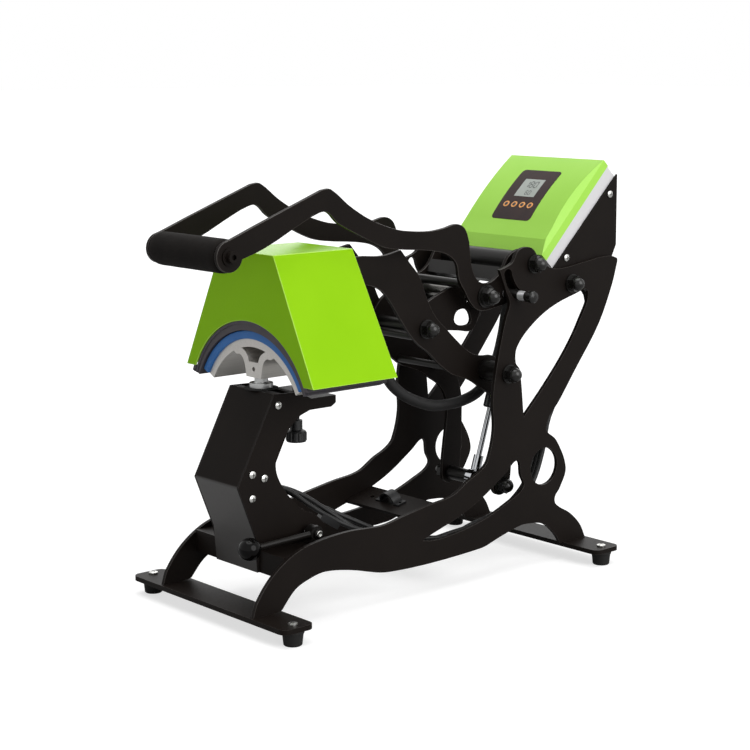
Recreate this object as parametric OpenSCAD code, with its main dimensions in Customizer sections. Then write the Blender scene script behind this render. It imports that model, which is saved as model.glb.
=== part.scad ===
// Cap heat press with a curved platen: two scroll-cut frame plates carry a hand lever that drives
// a platen crank through toggle links, with a gas strut behind and a sloped control box at the rear.
// Front is towards -Y, the press stands on z = 0. Profiles are drawn as [y, z] pairs from the front
// foot bar's centre line and moved back as one by place().

/* [Stand] */
// Length of each foot bar
foot_bar_l = 300; // [280:1:320]
// Width of each foot bar
foot_bar_w = 45; // [40:1:46]
// Thickness of each foot bar
foot_bar_t = 6; // [5:0.5:6]
// Height of the rubber feet
foot_h = 17; // [15:1:17]
// Distance between the foot bars
foot_bar_gap = 503; // [500:1:505]
// Thickness of the frame plates
plate_t = 5; // [4:0.5:5]
// Outer width over the frame plates
frame_w = 183; // [183:1:187]
// Diameter of the pivot shafts
shaft_d = 12; // [11:0.5:12]

/* [Hand lever] */
// Outer width over the lever's two arms
lever_w = 138; // [136:1:138]
// Diameter of the foam grip
grip_d = 38.8; // [34:0.5:40]
// Diameter of the sleeve that turns on the lever shaft
sleeve_d = 28; // [22:1:30]

/* [Platen crank] */
// Outer width over the crank's two arms
crank_w = 100; // [100:1:102]
// Diameter of the tail shaft and toggle shaft
toggle_d = 12; // [11:0.5:12]

/* [Platens] */
// Outer radius of the curved lower platen
cast_r = 100.2; // [99.7:0.1:100.2]
// Thickness of the silicone pad
pad_t = 9; // [7:0.5:9]
// Length of the platens front to back
platen_l = 105; // [100:1:106]
// Height of the lower platen's centre line above the floor
arch_z = 222; // [221.8:0.1:222]

/* [Housing] */
// Half width of the housing at the top
hood_top = 51; // [48:1:56]
// Half width of the housing at the bottom
hood_bottom = 122; // [120:1:124]
// Height of the housing's top face
hood_z1 = 424; // [418:1:426]
// Height of the housing's lower edge
hood_z0 = 279.5; // [279:0.5:280]
// Wall thickness of the housing
hood_wall = 2; // [1.5:0.5:3]

/* [Controller] */
// Half width of the control box
box_w = 84; // [80:1:84]
// Length of the control box's face
box_l = 160.4; // [156:0.2:161]
// Slope of the control box's face
box_tilt = 45.7; // [45:0.1:46]
// Height of the crown on the cover
crown_h = 10; // [6:1:12]

/* [Hidden] */
$fn = 64;
place_y = -265.4;
shaft_r = shaft_d / 2;
frame_x = frame_w / 2;
frame_in = frame_x - plate_t;
lever_x = lever_w / 2;
lever_in = lever_x - 5;
crank_x = crank_w / 2;
crank_in = crank_x - 5;
link_x = crank_in - 2;
link_in = link_x - 5;
foot_top = foot_h + foot_bar_t;
pad_r = cast_r + pad_t;
// The heated platen's back, the mat behind it and the housing share a centre line above the pad's
heat_z = 228;
heat_in = pad_r + 1.3;
heat_out = 112.4;
band_out = 115.5;
lip_out = 120;
hood_arch = band_out + 0.3;
platen_y0 = 53;
heat_y0 = 47;
nut_l = 20;
crown_r = (pow(box_l / 2, 2) + pow(crown_h, 2)) / (2 * crown_h);
// Pivots: lever shaft, strut shaft, crank shaft, elbow, toggle and tail
pa = [421.2, 390.4];
pb = [489.5, 360.5];
pc = [378.4, 256.2];
pd = [360.1, 352.7];
pe = [278, 317.5];
pt = [407, 104];
pg = [-29, 429];
stud = [395, 353];
stud_r = norm(stud - pa);
strut_u = (pt - pb) / norm(pt - pb);

// Outline helpers. A point with a third value is a sharp corner, the others are passed smoothly.
function sharp(q) = len(q) > 2;
function flat(q) = [q[0], q[1]];
function unit(v) = v / norm(v);
function wrap(p, i) = p[(i + len(p)) % len(p)];
function lead(p, i) = unit(flat(wrap(p, i + 1)) - flat(wrap(p, i - 1)));
function hermite(a, b, m, k, s) = (2 * pow(s, 3) - 3 * pow(s, 2) + 1) * a
  + (pow(s, 3) - 2 * pow(s, 2) + s) * m + (3 * pow(s, 2) - 2 * pow(s, 3)) * b
  + (pow(s, 3) - pow(s, 2)) * k;
function smooth(p, n) = [for (i = [0:len(p) - 1])
  let (a = flat(p[i]), b = flat(wrap(p, i + 1)), d = norm(b - a),
    m = sharp(p[i]) ? b - a : d * lead(p, i),
    k = sharp(wrap(p, i + 1)) ? b - a : d * lead(p, i + 1),
    both = sharp(p[i]) && sharp(wrap(p, i + 1)))
  for (j = [0:(both ? 0 : n - 1)]) hermite(a, b, m, k, j / n)];
// Band of half width w and middle radius r round c, from angle a0 to a1, with round ends
function arc_band(c, r, w, a0, a1) = concat(
  [for (i = [0:12]) let (t = a0 + (a1 - a0) * i / 12) c + (r + w) * [cos(t), sin(t)]],
  [for (i = [1:7]) let (t = a1 + 180 * i / 8) c + r * [cos(a1), sin(a1)] + w * [cos(t), sin(t)]],
  [for (i = [12:-1:0]) let (t = a0 + (a1 - a0) * i / 12) c + (r - w) * [cos(t), sin(t)]],
  [for (i = [1:7]) let (t = a0 + 180 + 180 * i / 8) c + r * [cos(a0), sin(a0)] + w * [cos(t), sin(t)]]);
// Open curve in space through round points, for tubes
function path_lead(p, i) = i == 0 ? unit(p[1] - p[0])
  : i == len(p) - 1 ? unit(p[i] - p[i - 1]) : unit(p[i + 1] - p[i - 1]);
function path(p, n) = concat([for (i = [0:len(p) - 2])
  let (d = norm(p[i + 1] - p[i])) for (j = [0:n - 1])
  hermite(p[i], p[i + 1], d * path_lead(p, i), d * path_lead(p, i + 1), j / n)], [p[len(p) - 1]]);

module place() {
  translate([0, place_y, 0]) children();
}
// Plate with its [y, z] outline, from x0 to x1
module plate(x0, x1, outline) {
  translate([x0, 0, 0]) rotate([90, 0, 90]) linear_extrude(height = x1 - x0) polygon(outline);
}
// Bar with its [x, z] outline, from y0 to y1
module along_y(y0, y1, outline) {
  translate([0, y1, 0]) rotate([90, 0, 0]) linear_extrude(height = y1 - y0) polygon(outline);
}
// Round bar across the press at p = [y, z]
module cross(p, r, x0, x1) {
  translate([x0, p[0], p[1]]) rotate([0, 90, 0]) cylinder(h = x1 - x0, r = r);
}
module cross_tube(p, r, bore, x0, x1) {
  difference() {
    cross(p, r, x0, x1);
    cross(p, bore, x0 - 1, x1 + 1);
  }
}
module both_sides() {
  children();
  mirror([1, 0, 0]) children();
}
// Cap nut with a flange, seated on the plane x and pointing to +x
module cap_nut(p, x, bore) {
  translate([x, p[0], p[1]]) rotate([0, 90, 0]) difference() {
    union() {
      cylinder(h = 2.5, r = 11.8);
      cylinder(h = 11.5, r = 10.4, $fn = 6);
      translate([0, 0, nut_l - 8.8]) intersection() {
        sphere(r = 8.8);
        translate([0, 0, -3]) cylinder(h = 12, r = 8.8);
      }
    }
    translate([0, 0, -1]) cylinder(h = 9.6, r = bore);
  }
}
// Pan head screw with a cross recess, head on the plane z = 0 and shank below
module pan_screw(head_r, head_h, shank_r, shank_l) {
  difference() {
    union() {
      intersection() {
        cylinder(h = head_h, r = head_r);
        translate([0, 0, head_h - 2 * head_r]) sphere(r = 2 * head_r);
      }
      translate([0, 0, -shank_l]) cylinder(h = shank_l + 0.5, r = shank_r);
    }
    for (a = [0, 90]) rotate([0, 0, a]) translate([-head_r * 0.55, -0.5, head_h - 1.3])
      cube([head_r * 1.1, 1, 2]);
  }
}
// Tube of radius r swept along points, with n sides
module sweep(p, r, n) {
  rings = [for (i = [0:len(p) - 1]) let (t = path_lead(p, i), u = unit(cross3(t, [0.02, 0.1, 1])),
    v = cross3(t, u)) for (j = [0:n - 1]) p[i] + r * (cos(360 * j / n) * u + sin(360 * j / n) * v)];
  last = (len(p) - 1) * n;
  faces = concat([[for (j = [0:n - 1]) j]], [[for (j = [n - 1:-1:0]) last + j]],
    [for (i = [0:len(p) - 2]) for (j = [0:n - 1]) for (h = [0, 1])
      let (a = i * n + j, b = i * n + (j + 1) % n) h == 0 ? [a, a + n, b + n] : [a, b + n, b]]);
  polyhedron(points = rings, faces = faces, convexity = 4);
}
function cross3(a, b) = [a[1] * b[2] - a[2] * b[1], a[2] * b[0] - a[0] * b[2],
  a[0] * b[1] - a[1] * b[0]];

// Stand

module foot_bar(y) {
  l = foot_bar_l / 2;
  w = foot_bar_w / 2;
  c = 10;
  translate([0, y, foot_h]) difference() {
    linear_extrude(height = foot_bar_t) union() {
      square([2 * l - 2 * c, 2 * w], center = true);
      square([2 * l, 2 * w - 2 * c], center = true);
      for (sx = [-1, 1]) for (sy = [-1, 1]) translate([sx * (l - c), sy * (w - c)]) circle(r = c);
    }
    for (s = [-1, 1]) translate([s * (l - 12.5), 0, -1]) cylinder(h = 10, r = 2.8);
  }
}
module front_foot_bar() {
  color("#262423") place() foot_bar(0);
}
module rear_foot_bar() {
  color("#262423") place() foot_bar(foot_bar_gap);
}
module at_feet() {
  for (s = [-1, 1]) for (y = [0, foot_bar_gap]) translate([s * (foot_bar_l / 2 - 12.5), y, 0])
    children();
}
module rubber_feet() {
  color("#1A1A1A") place() at_feet() difference() {
    rotate_extrude() polygon([[0, 0], [9.6, 0], [10.7, 1], [12, foot_h - 4], [13, foot_h - 2.5],
      [13, foot_h], [0, foot_h]]);
    translate([0, 0, -1]) cylinder(h = 7, r = 6.5);
    cylinder(h = foot_h + 1, r = 2.8);
  }
}
module foot_screws() {
  color("#C9C9C6") place() at_feet() {
    translate([0, 0, foot_top]) pan_screw(5.5, 3.4, 2.5, foot_top - 2);
    translate([0, 0, 2.2]) difference() {
      cylinder(h = 3.8, r = 4.6, $fn = 6);
      translate([0, 0, -1]) cylinder(h = 6, r = 2.5);
    }
  }
}

frame_outline = [[-19.6, 23, 1], [-13.5, 40], [8, 66], [37, 85.5], [66, 94.5], [118, 99.5],
  [172, 97.6], [203, 103], [243.5, 110], [285, 116], [311.5, 130.6], [332, 140], [344, 151],
  [354, 188], [352, 226], [360, 275], [373, 324], [380, 344], [373, 361], [362, 387, 1],
  [374, 390], [384.5, 395], [395, 409.4], [417.5, 410.3], [434, 392], [461, 381], [514, 386],
  [542, 390], [565, 390], [577, 386, 1], [566, 352], [541, 302], [498.5, 247.5], [471, 212],
  [446, 180], [466, 160], [484, 122], [473.5, 97], [464.5, 86], [466.5, 76], [493, 60],
  [512, 42], [522, 23, 1], [475, 23, 1], [465, 37], [443, 54], [410, 59], [394, 57],
  [366, 50], [331, 41], [183, 39], [121, 53], [84, 58], [61.5, 54], [40, 45], [19.2, 23, 1]];
frame_window = [[521, 348], [496.5, 346], [451, 332], [415.5, 311], [393, 288], [391, 269],
  [398.5, 259], [406, 198, 1], [443.6, 234], [481, 275], [506.5, 312]];
frame_slot = [[236, 68], [239, 70], [280, 82.6], [297, 88.5], [338, 107], [377, 132],
  [397, 144], [402, 124], [408, 108], [383, 93.5], [331, 75], [264, 65]];

module frame_plate() {
  difference() {
    plate(frame_in, frame_x, smooth(frame_outline, 5));
    plate(frame_in - 1, frame_x + 1, smooth(frame_window, 4));
    plate(frame_in - 1, frame_x + 1, smooth(frame_slot, 3));
    plate(frame_in - 1, frame_x + 1, arc_band(pa, stud_r, 6.8, 192.2, 235.8));
    cross([443.3, 129.3], 24, frame_in - 1, frame_x + 1);
    for (p = [pa, pb, pc]) cross(p, shaft_r + 0.1, frame_in - 1, frame_x + 1);
  }
}
module frame_plate_left() {
  color("#262423") place() mirror([1, 0, 0]) frame_plate();
}
module frame_plate_right() {
  color("#262423") place() frame_plate();
}
module front_cross_panel() {
  color("#262423") place() plate(-frame_in, frame_in,
    [[28, 57], [31, 57], [31, 80], [124, 80], [124, 83], [28, 83]]);
}
module cross_plate() {
  color("#3C3A3C") place() difference() {
    plate(-frame_in, frame_in, [[262, 82], [263, 78.1], [308, 89.1], [307, 93]]);
    for (x = [-60, 60]) translate([x, 285, 70]) cylinder(h = 40, r = 3);
  }
}
clip_x = -24;
module cable_clip() {
  color("#1A1A1A") place() translate([clip_x, 285, 87.75]) rotate([13.8, 0, 0]) difference() {
    union() {
      translate([-22, -7, 0]) cube([44, 14, 2]);
      intersection() {
        translate([0, 7, 0]) rotate([90, 0, 0]) cylinder(h = 14, r = 14);
        translate([-15, -8, 0]) cube([30, 16, 15]);
      }
    }
    translate([0, 8, 0]) rotate([90, 0, 0]) cylinder(h = 16, r = 12);
    for (s = [-1, 1]) translate([s * 18, 0, -1]) cylinder(h = 5, r = 2.2);
  }
}

ped_side = [[50, 263, 1], [-3, 161, 1], [21.5, 99, 1], [25, 83, 1], [122, 83, 1], [124, 97, 1],
  [112, 110], [84, 126], [61, 153], [51.4, 175], [55, 198], [72, 221], [88, 234, 1],
  [102, 238.6, 1], [134, 238.6, 1], [141, 243, 1], [141, 252, 1], [104, 252, 1], [84, 262, 1]];
module pedestal_sides() {
  color("#2A2827") place() both_sides() difference() {
    plate(40, 43, smooth(ped_side, 5));
    for (p = [[55, 250], [17, 174], [34, 167.4], [16.5, 146]]) cross(p, 2.1, 39, 44);
    cross([95, 96], 3.1, 39, 44);
  }
}
module pedestal_front() {
  color("#33312F") place() difference() {
    plate(-40, 40, [[50, 263], [-3, 161], [21.5, 99], [25, 57], [28, 57], [28, 83],
      [42, 160], [74, 222], [74, 258], [62, 262.2]]);
    plate(-37.5, 37.5, [[52, 261], [0, 161], [24.3, 100], [28, 83.2], [60, 83.2], [45, 160],
      [76, 222], [76, 262.4]]);
    for (s = [-1, 1]) for (p = [[55, 250], [17, 174], [34, 167.4], [16.5, 146]])
      cross(p, 2.1, min(s * 36, s * 41), max(s * 36, s * 41));
  }
}
module pedestal_top() {
  color("#232120") place() difference() {
    plate(-40, 40, [[76.5, 258.6], [84, 258.8], [103.5, 249], [112, 238.6], [134, 238.6],
      [141, 243], [141, 252], [104, 252], [84, 262], [76.5, 262]]);
    translate([0, 115, 200]) cylinder(h = 80, r = 4.1);
  }
}
module pedestal_screws() {
  color("#C9C9C6") place() both_sides() for (p = [[55, 250], [17, 174], [34, 167.4], [16.5, 146]])
    translate([43, p[0], p[1]]) rotate([0, 90, 0]) pan_screw(4.4, 2.6, 2, 6);
}
module platen_post() {
  color("#B9B9B6") place() translate([0, 64, 0]) rotate_extrude()
    polygon([[0, 263.1], [20, 263.1], [20, 264.4], [14, 264.4], [14, 270.4], [8, 270.4],
      [8, 276.9], [0, 276.9]]);
}

// Curved platens. The ends of each arch are cut along a radius, at the angle a above the level
module arch_ring(zc, r0, r1, y0, y1, a) {
  w = 2 * r1;
  intersection() {
    difference() {
      translate([0, y1, zc]) rotate([90, 0, 0]) cylinder(h = y1 - y0, r = r1, $fn = 128);
      translate([0, y1 + 1, zc]) rotate([90, 0, 0]) cylinder(h = y1 - y0 + 2, r = r0, $fn = 128);
    }
    translate([0, 0, zc]) along_y(y0 - 1, y1 + 1, [[0, 0], [w, w * tan(a)], [w, w], [-w, w],
      [-w, w * tan(a)]]);
  }
}
// Web of the lower platen's rail, from the rim down to the boss
web = [[40, 305, 1], [33, 301.4], [26, 301.6], [20.4, 297.6], [17, 291], [14.3, 278, 1],
  [9, 286, 1], [9.2, 295], [11.2, 301], [16, 306], [24, 310, 1], [30, 314, 1]];
module lower_platen() {
  y1 = platen_y0 + platen_l;
  color("#C8C6C3") place() difference() {
    union() {
      arch_ring(arch_z, cast_r - 9.6, cast_r, platen_y0, y1, 29.5);
      both_sides() along_y(platen_y0, y1, smooth(web, 4));
      along_y(platen_y0, y1, [[-14.3, 277], [-14.3, 295], [14.3, 295], [14.3, 277]]);
    }
    translate([0, platen_y0 + 14, 286.7]) rotate([90, 0, 0]) cylinder(h = 20, r = 2.6);
    translate([0, 115, 270]) cylinder(h = 14, r = 4.1);
  }
}
module platen_pad() {
  color("#3C78BE") place() arch_ring(arch_z, cast_r + 0.02, pad_r, platen_y0 - 1,
    platen_y0 + platen_l + 1, 29.5);
}

module pivot_shafts() {
  color("#8F8D8A") place() for (p = [pa, pb, pc]) cross(p, shaft_r, -frame_x - 8.4, frame_x + 8.4);
}
module shaft_spacers() {
  color("#242221") place() {
    both_sides() cross_tube(pa, 10, shaft_r + 0.1, lever_x + 0.4, frame_in);
    both_sides() cross_tube(pc, 13, shaft_r + 0.1, crank_x + 0.4, frame_in);
    both_sides() cross_tube(pb, 9.5, shaft_r + 0.1, 9, 13);
    both_sides() cross_tube(pb, 9.5, shaft_r + 0.1, frame_in - 4, frame_in);
  }
}
module frame_cap_nuts() {
  color("#1C1B1A") place() both_sides() for (p = [pa, pb, pc])
    cap_nut(p, frame_x, shaft_r + 0.05);
}

// Controller, drawn on its sloped face: x across, y up the slope, z out of the face
module on_face() {
  translate([0, 499, 456.5]) rotate([box_tilt, 0, 0]) children();
}
module face_box(x, y0, y1, z0, z1) {
  translate([-x, y0, z0]) cube([2 * x, y1 - y0, z1 - z0]);
}
half_l = box_l / 2;
module rounded_face(x0, x1, y0, y1, c, z0, z1) {
  translate([0, 0, z0]) linear_extrude(height = z1 - z0) union() {
    translate([x0 + c, y0]) square([x1 - x0 - 2 * c, y1 - y0]);
    translate([x0, y0 + c]) square([x1 - x0, y1 - y0 - 2 * c]);
    for (x = [x0 + c, x1 - c]) for (y = [y0 + c, y1 - c]) translate([x, y]) circle(r = c);
  }
}
// Solid under the crowned face, lowered or raised by d
module crown(d) {
  translate([-box_w - 1, 0, crown_h - crown_r]) rotate([0, 90, 0])
    cylinder(h = 2 * box_w + 2, r = crown_r + d, $fn = 180);
}
button_x = [-21.8, -7.5, 6.8, 21.1];
button_y = -11;
cable_x = -32;
bracket_holes = [[564, 470], [484.5, 393]];
module controller_bracket() {
  color("#1F1E1D") place() difference() {
    union() {
      both_sides() plate(frame_in - 2.8, frame_in - 0.02, [[461, 380], [578, 495], [578, 404],
        [562, 372], [505, 372], [470, 372]]);
      on_face() difference() {
        face_box(frame_in - 2.4, -half_l, half_l, -33.7, -31.2);
        rounded_face(-60, -14, -22, 2, 2, -40, -20);
        rounded_face(21, 51, -21, 1, 2, -40, -20);
        rounded_face(9.5, 30.5, -100, -51, 6, -40, -20);
        translate([cable_x, -65.5, -40]) cylinder(h = 20, r = 11);
      }
    }
    both_sides() {
      for (p = bracket_holes) cross(p, 2.1, frame_in - 8, frame_in + 1);
      cross(pb, 11, frame_in - 4, frame_in + 1);
    }
  }
}
module controller_base() {
  color("#E2E2E4") place() on_face() difference() {
    face_box(box_w - 0.8, -half_l + 0.5, half_l - 0.5, -31, -11);
    rounded_face(-53, -21, -20, 0, 2, -40, -16);
    rounded_face(22, 50, -20, 0, 2, -40, -16);
    rounded_face(10, 30, -78, -42, 6, -40, -15);
    translate([cable_x, -65.5, -40]) cylinder(h = 22, r = 10.6);
  }
}
module controller_cover() {
  color("#8ED43A") place() on_face() difference() {
    union() {
      face_box(box_w, -half_l, half_l, -11, 0);
      intersection() {
        along_y(-half_l, half_l, [[-box_w, -1], [box_w, -1], [box_w, 0], [box_w - 22, 16],
          [22 - box_w, 16], [-box_w, 0]]);
        crown(0);
      }
    }
    intersection() {
      rounded_face(-35.2, 35.2, -35.2, 51.2, 6, -5, 20);
      difference() {
        face_box(50, -50, 60, -5, 20);
        crown(-2);
      }
    }
    for (x = button_x) translate([x, button_y, 3]) cylinder(h = 10, r = 5.2);
  }
}
module window_shell(d0, d1) {
  intersection() {
    difference() {
      crown(d1);
      crown(d0);
    }
    children();
  }
}
module display_window() {
  color("#2B2130") place() on_face() difference() {
    window_shell(-1.95, 0.3) rounded_face(-35, 35, -35, 51, 5.8, 0, 20);
    translate([-18.2, 2.8, 0]) cube([36.4, 31.4, 20]);
    for (x = button_x) translate([x, button_y, 0]) cylinder(h = 20, r = 5.1);
  }
}
module display_screen() {
  color("#9CA59C") place() on_face() window_shell(-1.95, 0.1)
    translate([-18, 3, 0]) cube([36, 31, 20]);
}
module bracket_screws() {
  color("#C9C9C6") place() both_sides() for (p = bracket_holes)
    translate([frame_in, p[0], p[1]]) rotate([0, 90, 0]) pan_screw(4.4, 2.6, 2, 6);
}
module power_inlet() {
  color("#18181A") place() on_face() translate([-37, -10, 0]) difference() {
    union() {
      translate([0, 0, -36.2]) linear_extrude(height = 2.5) union() {
        square([30, 22], center = true);
        for (s = [-1, 1]) translate([s * 15, 0]) circle(r = 7);
      }
      translate([-13.5, -9.7, -34]) cube([27, 19.4, 17]);
    }
    translate([0, 0, -37]) linear_extrude(height = 14) polygon([[-11.5, -7.5], [11.5, -7.5],
      [11.5, 3], [7, 7.8], [-7, 7.8], [-11.5, 3]]);
    for (s = [-1, 1]) translate([s * 18, 0, -40]) cylinder(h = 6, r = 1.7);
  }
}
module button(i) {
  color("#E08A2E") place() on_face() translate([button_x[i], button_y, 4.6])
    rotate_extrude() polygon([[0, 0], [4.8, 0], [4.8, 5.6], [4.3, 6.1], [0, 6.3]]);
}
module button_1() {
  button(0);
}
module button_2() {
  button(1);
}
module button_3() {
  button(2);
}
module button_4() {
  button(3);
}
// Rocker in the rear plate, resting with its lower half pressed in
module rocker_switch() {
  color("#1C1B1C") place() on_face() translate([36, -10, -33]) rotate([6, 0, 0]) intersection() {
    translate([-13.8, 0, 0]) rotate([90, 0, 90]) linear_extrude(height = 27.6)
      polygon([[-8.6, 5], [8.6, 5], [8.6, -1.5], [0, -2.9], [-8.6, -1.5]]);
    translate([-14, 0, 0]) rotate([0, 90, 0]) cylinder(h = 28, r = 8.8);
  }
}
cable_run = [[0, 64, 146], [0, 94, 139], [4, 122, 122], [12, 150, 104], [26, 176, 87],
  [44, 200, 75], [62, 230, 66], [70, 264, 60], [73, 300, 60], [74, 336, 66], [75, 372, 72],
  [75, 402, 82], [75, 432, 106], [75, 450, 144], [75, 460, 190], [75, 488, 246],
  [74, 518, 298], [62, 534, 338], [24, 532, 360], [-16, 516, 366], [-31, 500, 370],
  [cable_x, 487, 377.5], [cable_x, 473.8, 389.5]];
module base_cables() {
  color("#161616") place() for (k = [-1:1]) sweep(path([for (i = [0:len(cable_run) - 1])
    let (t = path_lead(cable_run, i)) cable_run[i] + 6.6 * k * unit(cross3(t, [0, 0, 1]))], 2),
    3, 8);
}

// Moving pieces of the pedestal
module adjusting_knob() {
  color("#18181A") place() translate([0, 115, 0]) difference() {
    union() {
      rotate_extrude() polygon([[0, 193], [11.5, 193], [12.6, 195], [12.6, 204], [11, 206],
        [7.5, 207.5], [7.5, 219], [4, 220], [4, 262], [0, 263]]);
      translate([0, 0, 262]) cylinder(h = 20, r = 4);
    }
    for (a = [0:30:330]) rotate([0, 0, a]) translate([14.2, 0, 192]) cylinder(h = 20, r = 2.6);
  }
}
ball_x = 59.5;
module ball_lever() {
  color("#9A9894") place() {
    translate([0, 12, 93.4]) rotate([0, 0, 0]) translate([ball_x, 0, 0]) rotate([-88.2, 0, 0])
      cylinder(h = 76, r = 3.6);
    cross([95, 96], 9, 51, 63.6);
    cross([95, 96], 3, 43.5, 52);
    cross([95, 96], 5.5, 63, 66.5);
  }
}
module ball_knob() {
  color("#141414") place() translate([ball_x, 0, 93]) difference() {
    sphere(r = 13.4);
    translate([0, 3, 0.1]) rotate([-88.2, 0, 0]) cylinder(h = 20, r = 3.7);
  }
}

// Hand lever
arm_outline = [[-38, 441], [-25.5, 448.5], [101, 496, 1], [114, 496.5], [142, 476], [174, 458],
  [211, 445], [235, 441], [267, 439], [291, 441.4], [311, 445], [324, 439], [331, 424],
  [333, 410], [337, 388], [347, 373], [362, 368.5], [376, 373], [388, 383], [398, 398],
  [410, 405.5], [424, 407], [435, 400], [438, 388], [432, 377], [418, 366], [409, 352],
  [398, 341], [382, 338], [362, 335], [346, 337], [334, 347], [325, 361], [315, 376.5],
  [309, 399], [283, 413], [211, 421], [188, 426.5], [154, 442], [124, 457], [107, 471],
  [85, 466, 1], [-12, 425]];
module lever_arm() {
  difference() {
    union() {
      plate(lever_in, lever_x, smooth(arm_outline, 4));
      cross(pg, 17.6, lever_in, lever_x);
    }
    cross(pa, shaft_r + 0.06, lever_in - 1, lever_x + 1);
    cross(pd, shaft_r + 0.1, lever_in - 1, lever_x + 1);
    cross(pg, 4.1, lever_in - 1, lever_x + 1);
    cross(stud, 5.1, lever_in - 1, lever_x + 1);
  }
}
module lever_arm_left() {
  color("#262423") place() mirror([1, 0, 0]) lever_arm();
}
module lever_arm_right() {
  color("#262423") place() lever_arm();
}
module grip_core() {
  color("#6E6C6A") place() difference() {
    cross(pg, 10, -lever_in, lever_in);
    for (s = [-1, 1]) cross(pg, 4.05, min(s * lever_in, s * (lever_in - 22)) - 0.5,
      max(s * lever_in, s * (lever_in - 22)) + 0.5);
  }
}
module foam_grip() {
  color("#161616") place() translate([-lever_in + 0.4, pg[0], pg[1]]) rotate([0, 90, 0])
    rotate_extrude() polygon([[10.05, 0], [grip_d / 2 - 2.5, 0], [grip_d / 2 - 0.7, 0.8],
      [grip_d / 2, 2.5], [grip_d / 2, 2 * lever_in - 3.3], [grip_d / 2 - 0.7, 2 * lever_in - 1.6],
      [grip_d / 2 - 2.5, 2 * lever_in - 0.8], [10.05, 2 * lever_in - 0.8]]);
}
module grip_bolts() {
  color("#1B1A1A") place() both_sides() translate([lever_x, pg[0], pg[1]]) rotate([0, 90, 0])
    difference() {
      union() {
        cylinder(h = 1.8, r = 10.5);
        cylinder(h = 8.5, r = 6.6);
        translate([0, 0, -24]) cylinder(h = 25, r = 4);
      }
      translate([0, 0, 4.5]) cylinder(h = 5, r = 3.4, $fn = 6);
    }
}
module lever_tie_bars() {
  color("#3A3837") place() {
    plate(-lever_in, lever_in, [[381, 371], [391, 366], [399, 380], [389, 386.5]]);
    cross([322, 371], 5.5, -lever_in, lever_in);
  }
}
module lever_sleeve() {
  color("#3A3837") place() cross_tube(pa, sleeve_d / 2, shaft_r + 0.06, -lever_in, lever_in);
}
module elbow_shaft() {
  color("#8F8D8A") place() {
    cross(pd, shaft_r, -lever_x - 8.4, lever_x + 8.4);
    both_sides() cross_tube(pd, 9.5, shaft_r + 0.02, link_x + 1, lever_in);
    cross_tube(pd, 9.5, shaft_r + 0.02, -link_in + 1, link_in - 1);
  }
}
module elbow_nuts() {
  color("#1C1B1A") place() both_sides() {
    cap_nut(pd, lever_x + 2, shaft_r + 0.05);
    cross_tube(pd, 14.5, shaft_r + 0.05, lever_x, lever_x + 2);
  }
}
module stop_studs() {
  color("#D2D2D0") place() both_sides() {
    cross(stud, 5, lever_in, lever_x + 1);
    cross(stud, 6, lever_x, frame_x + 20);
    cross(stud, 3.5, frame_x + 19, frame_x + 24);
  }
}
module stud_heads() {
  color("#18181A") place() both_sides() translate([frame_x + 20, stud[0], stud[1]])
    rotate([0, 90, 0]) difference() {
      rotate_extrude() polygon([[0, 0], [6.6, 0], [7.6, 1], [7.6, 6], [6.4, 7.6], [3, 8.6], [0, 8.8]]);
      translate([0, 0, -1]) cylinder(h = 5.1, r = 3.55);
    }
}

// Platen crank
crank_outline = [[98, 380, 1], [98, 412, 1], [177, 414, 1], [208, 412], [237, 417, 1],
  [251, 401], [267.5, 382], [280.5, 352.5], [293.5, 331.6], [310, 315.8], [341, 288.5],
  [356.5, 279], [374, 274.5], [391, 273], [404, 262], [415, 240], [425, 215], [428, 191],
  [425, 116], [419, 96], [407, 90], [395, 96], [393, 112], [396, 140], [402, 189], [397, 210],
  [386, 224], [372, 233], [355, 244], [338, 251], [321, 257], [308, 265.8], [296, 275],
  [282, 288], [268, 297.7], [254, 310.5], [234.5, 335.7], [220, 356], [207, 370],
  [192.5, 377, 1], [180, 380, 1]];
module crank_arm() {
  difference() {
    plate(crank_in, crank_x, smooth(crank_outline, 4));
    cross(pc, shaft_r + 0.06, crank_in - 1, crank_x + 1);
    cross(pe, toggle_d / 2 + 0.1, crank_in - 1, crank_x + 1);
    cross(pt, toggle_d / 2 + 0.1, crank_in - 1, crank_x + 1);
  }
}
module crank_arm_left() {
  color("#262423") place() mirror([1, 0, 0]) crank_arm();
}
module crank_arm_right() {
  color("#262423") place() crank_arm();
}
module crank_rods() {
  color("#3A3837") place() {
    cross([265, 308.5], 4.6, -crank_in, crank_in);
    cross([318, 265.5], 4.6, -crank_in, crank_in);
    cross_tube(pc, 11, shaft_r + 0.06, -crank_in, crank_in);
  }
}
module crank_shafts() {
  color("#8F8D8A") place() {
    cross(pe, toggle_d / 2, -crank_x - 8.4, crank_x + 8.4);
    cross(pt, toggle_d / 2, -crank_x - 8.4, crank_x + 8.4);
    cross_tube(pe, 9, toggle_d / 2 + 0.02, -link_in + 0.5, link_in - 0.5);
    both_sides() cross_tube(pt, 9, toggle_d / 2 + 0.02, 7, crank_in);
  }
}
module crank_nuts() {
  color("#1C1B1A") place() both_sides() {
    cap_nut(pe, crank_x, toggle_d / 2 + 0.05);
    cap_nut(pt, crank_x, toggle_d / 2 + 0.05);
  }
}
module platen_hanger() {
  color("#55524F") place() difference() {
    union() {
      translate([-crank_in, 100, 384]) cube([2 * crank_in, 40, 6]);
      for (x = [-28, 28]) for (y = [108, 132]) translate([x, y, 320]) {
        cylinder(h = 72, r = 4);
        translate([0, 0, 70]) cylinder(h = 6, r = 7.5, $fn = 6);
      }
    }
    translate([0, 200, heat_z]) rotate([90, 0, 0]) cylinder(h = 200, r = band_out + 0.05, $fn = 128);
  }
}
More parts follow.
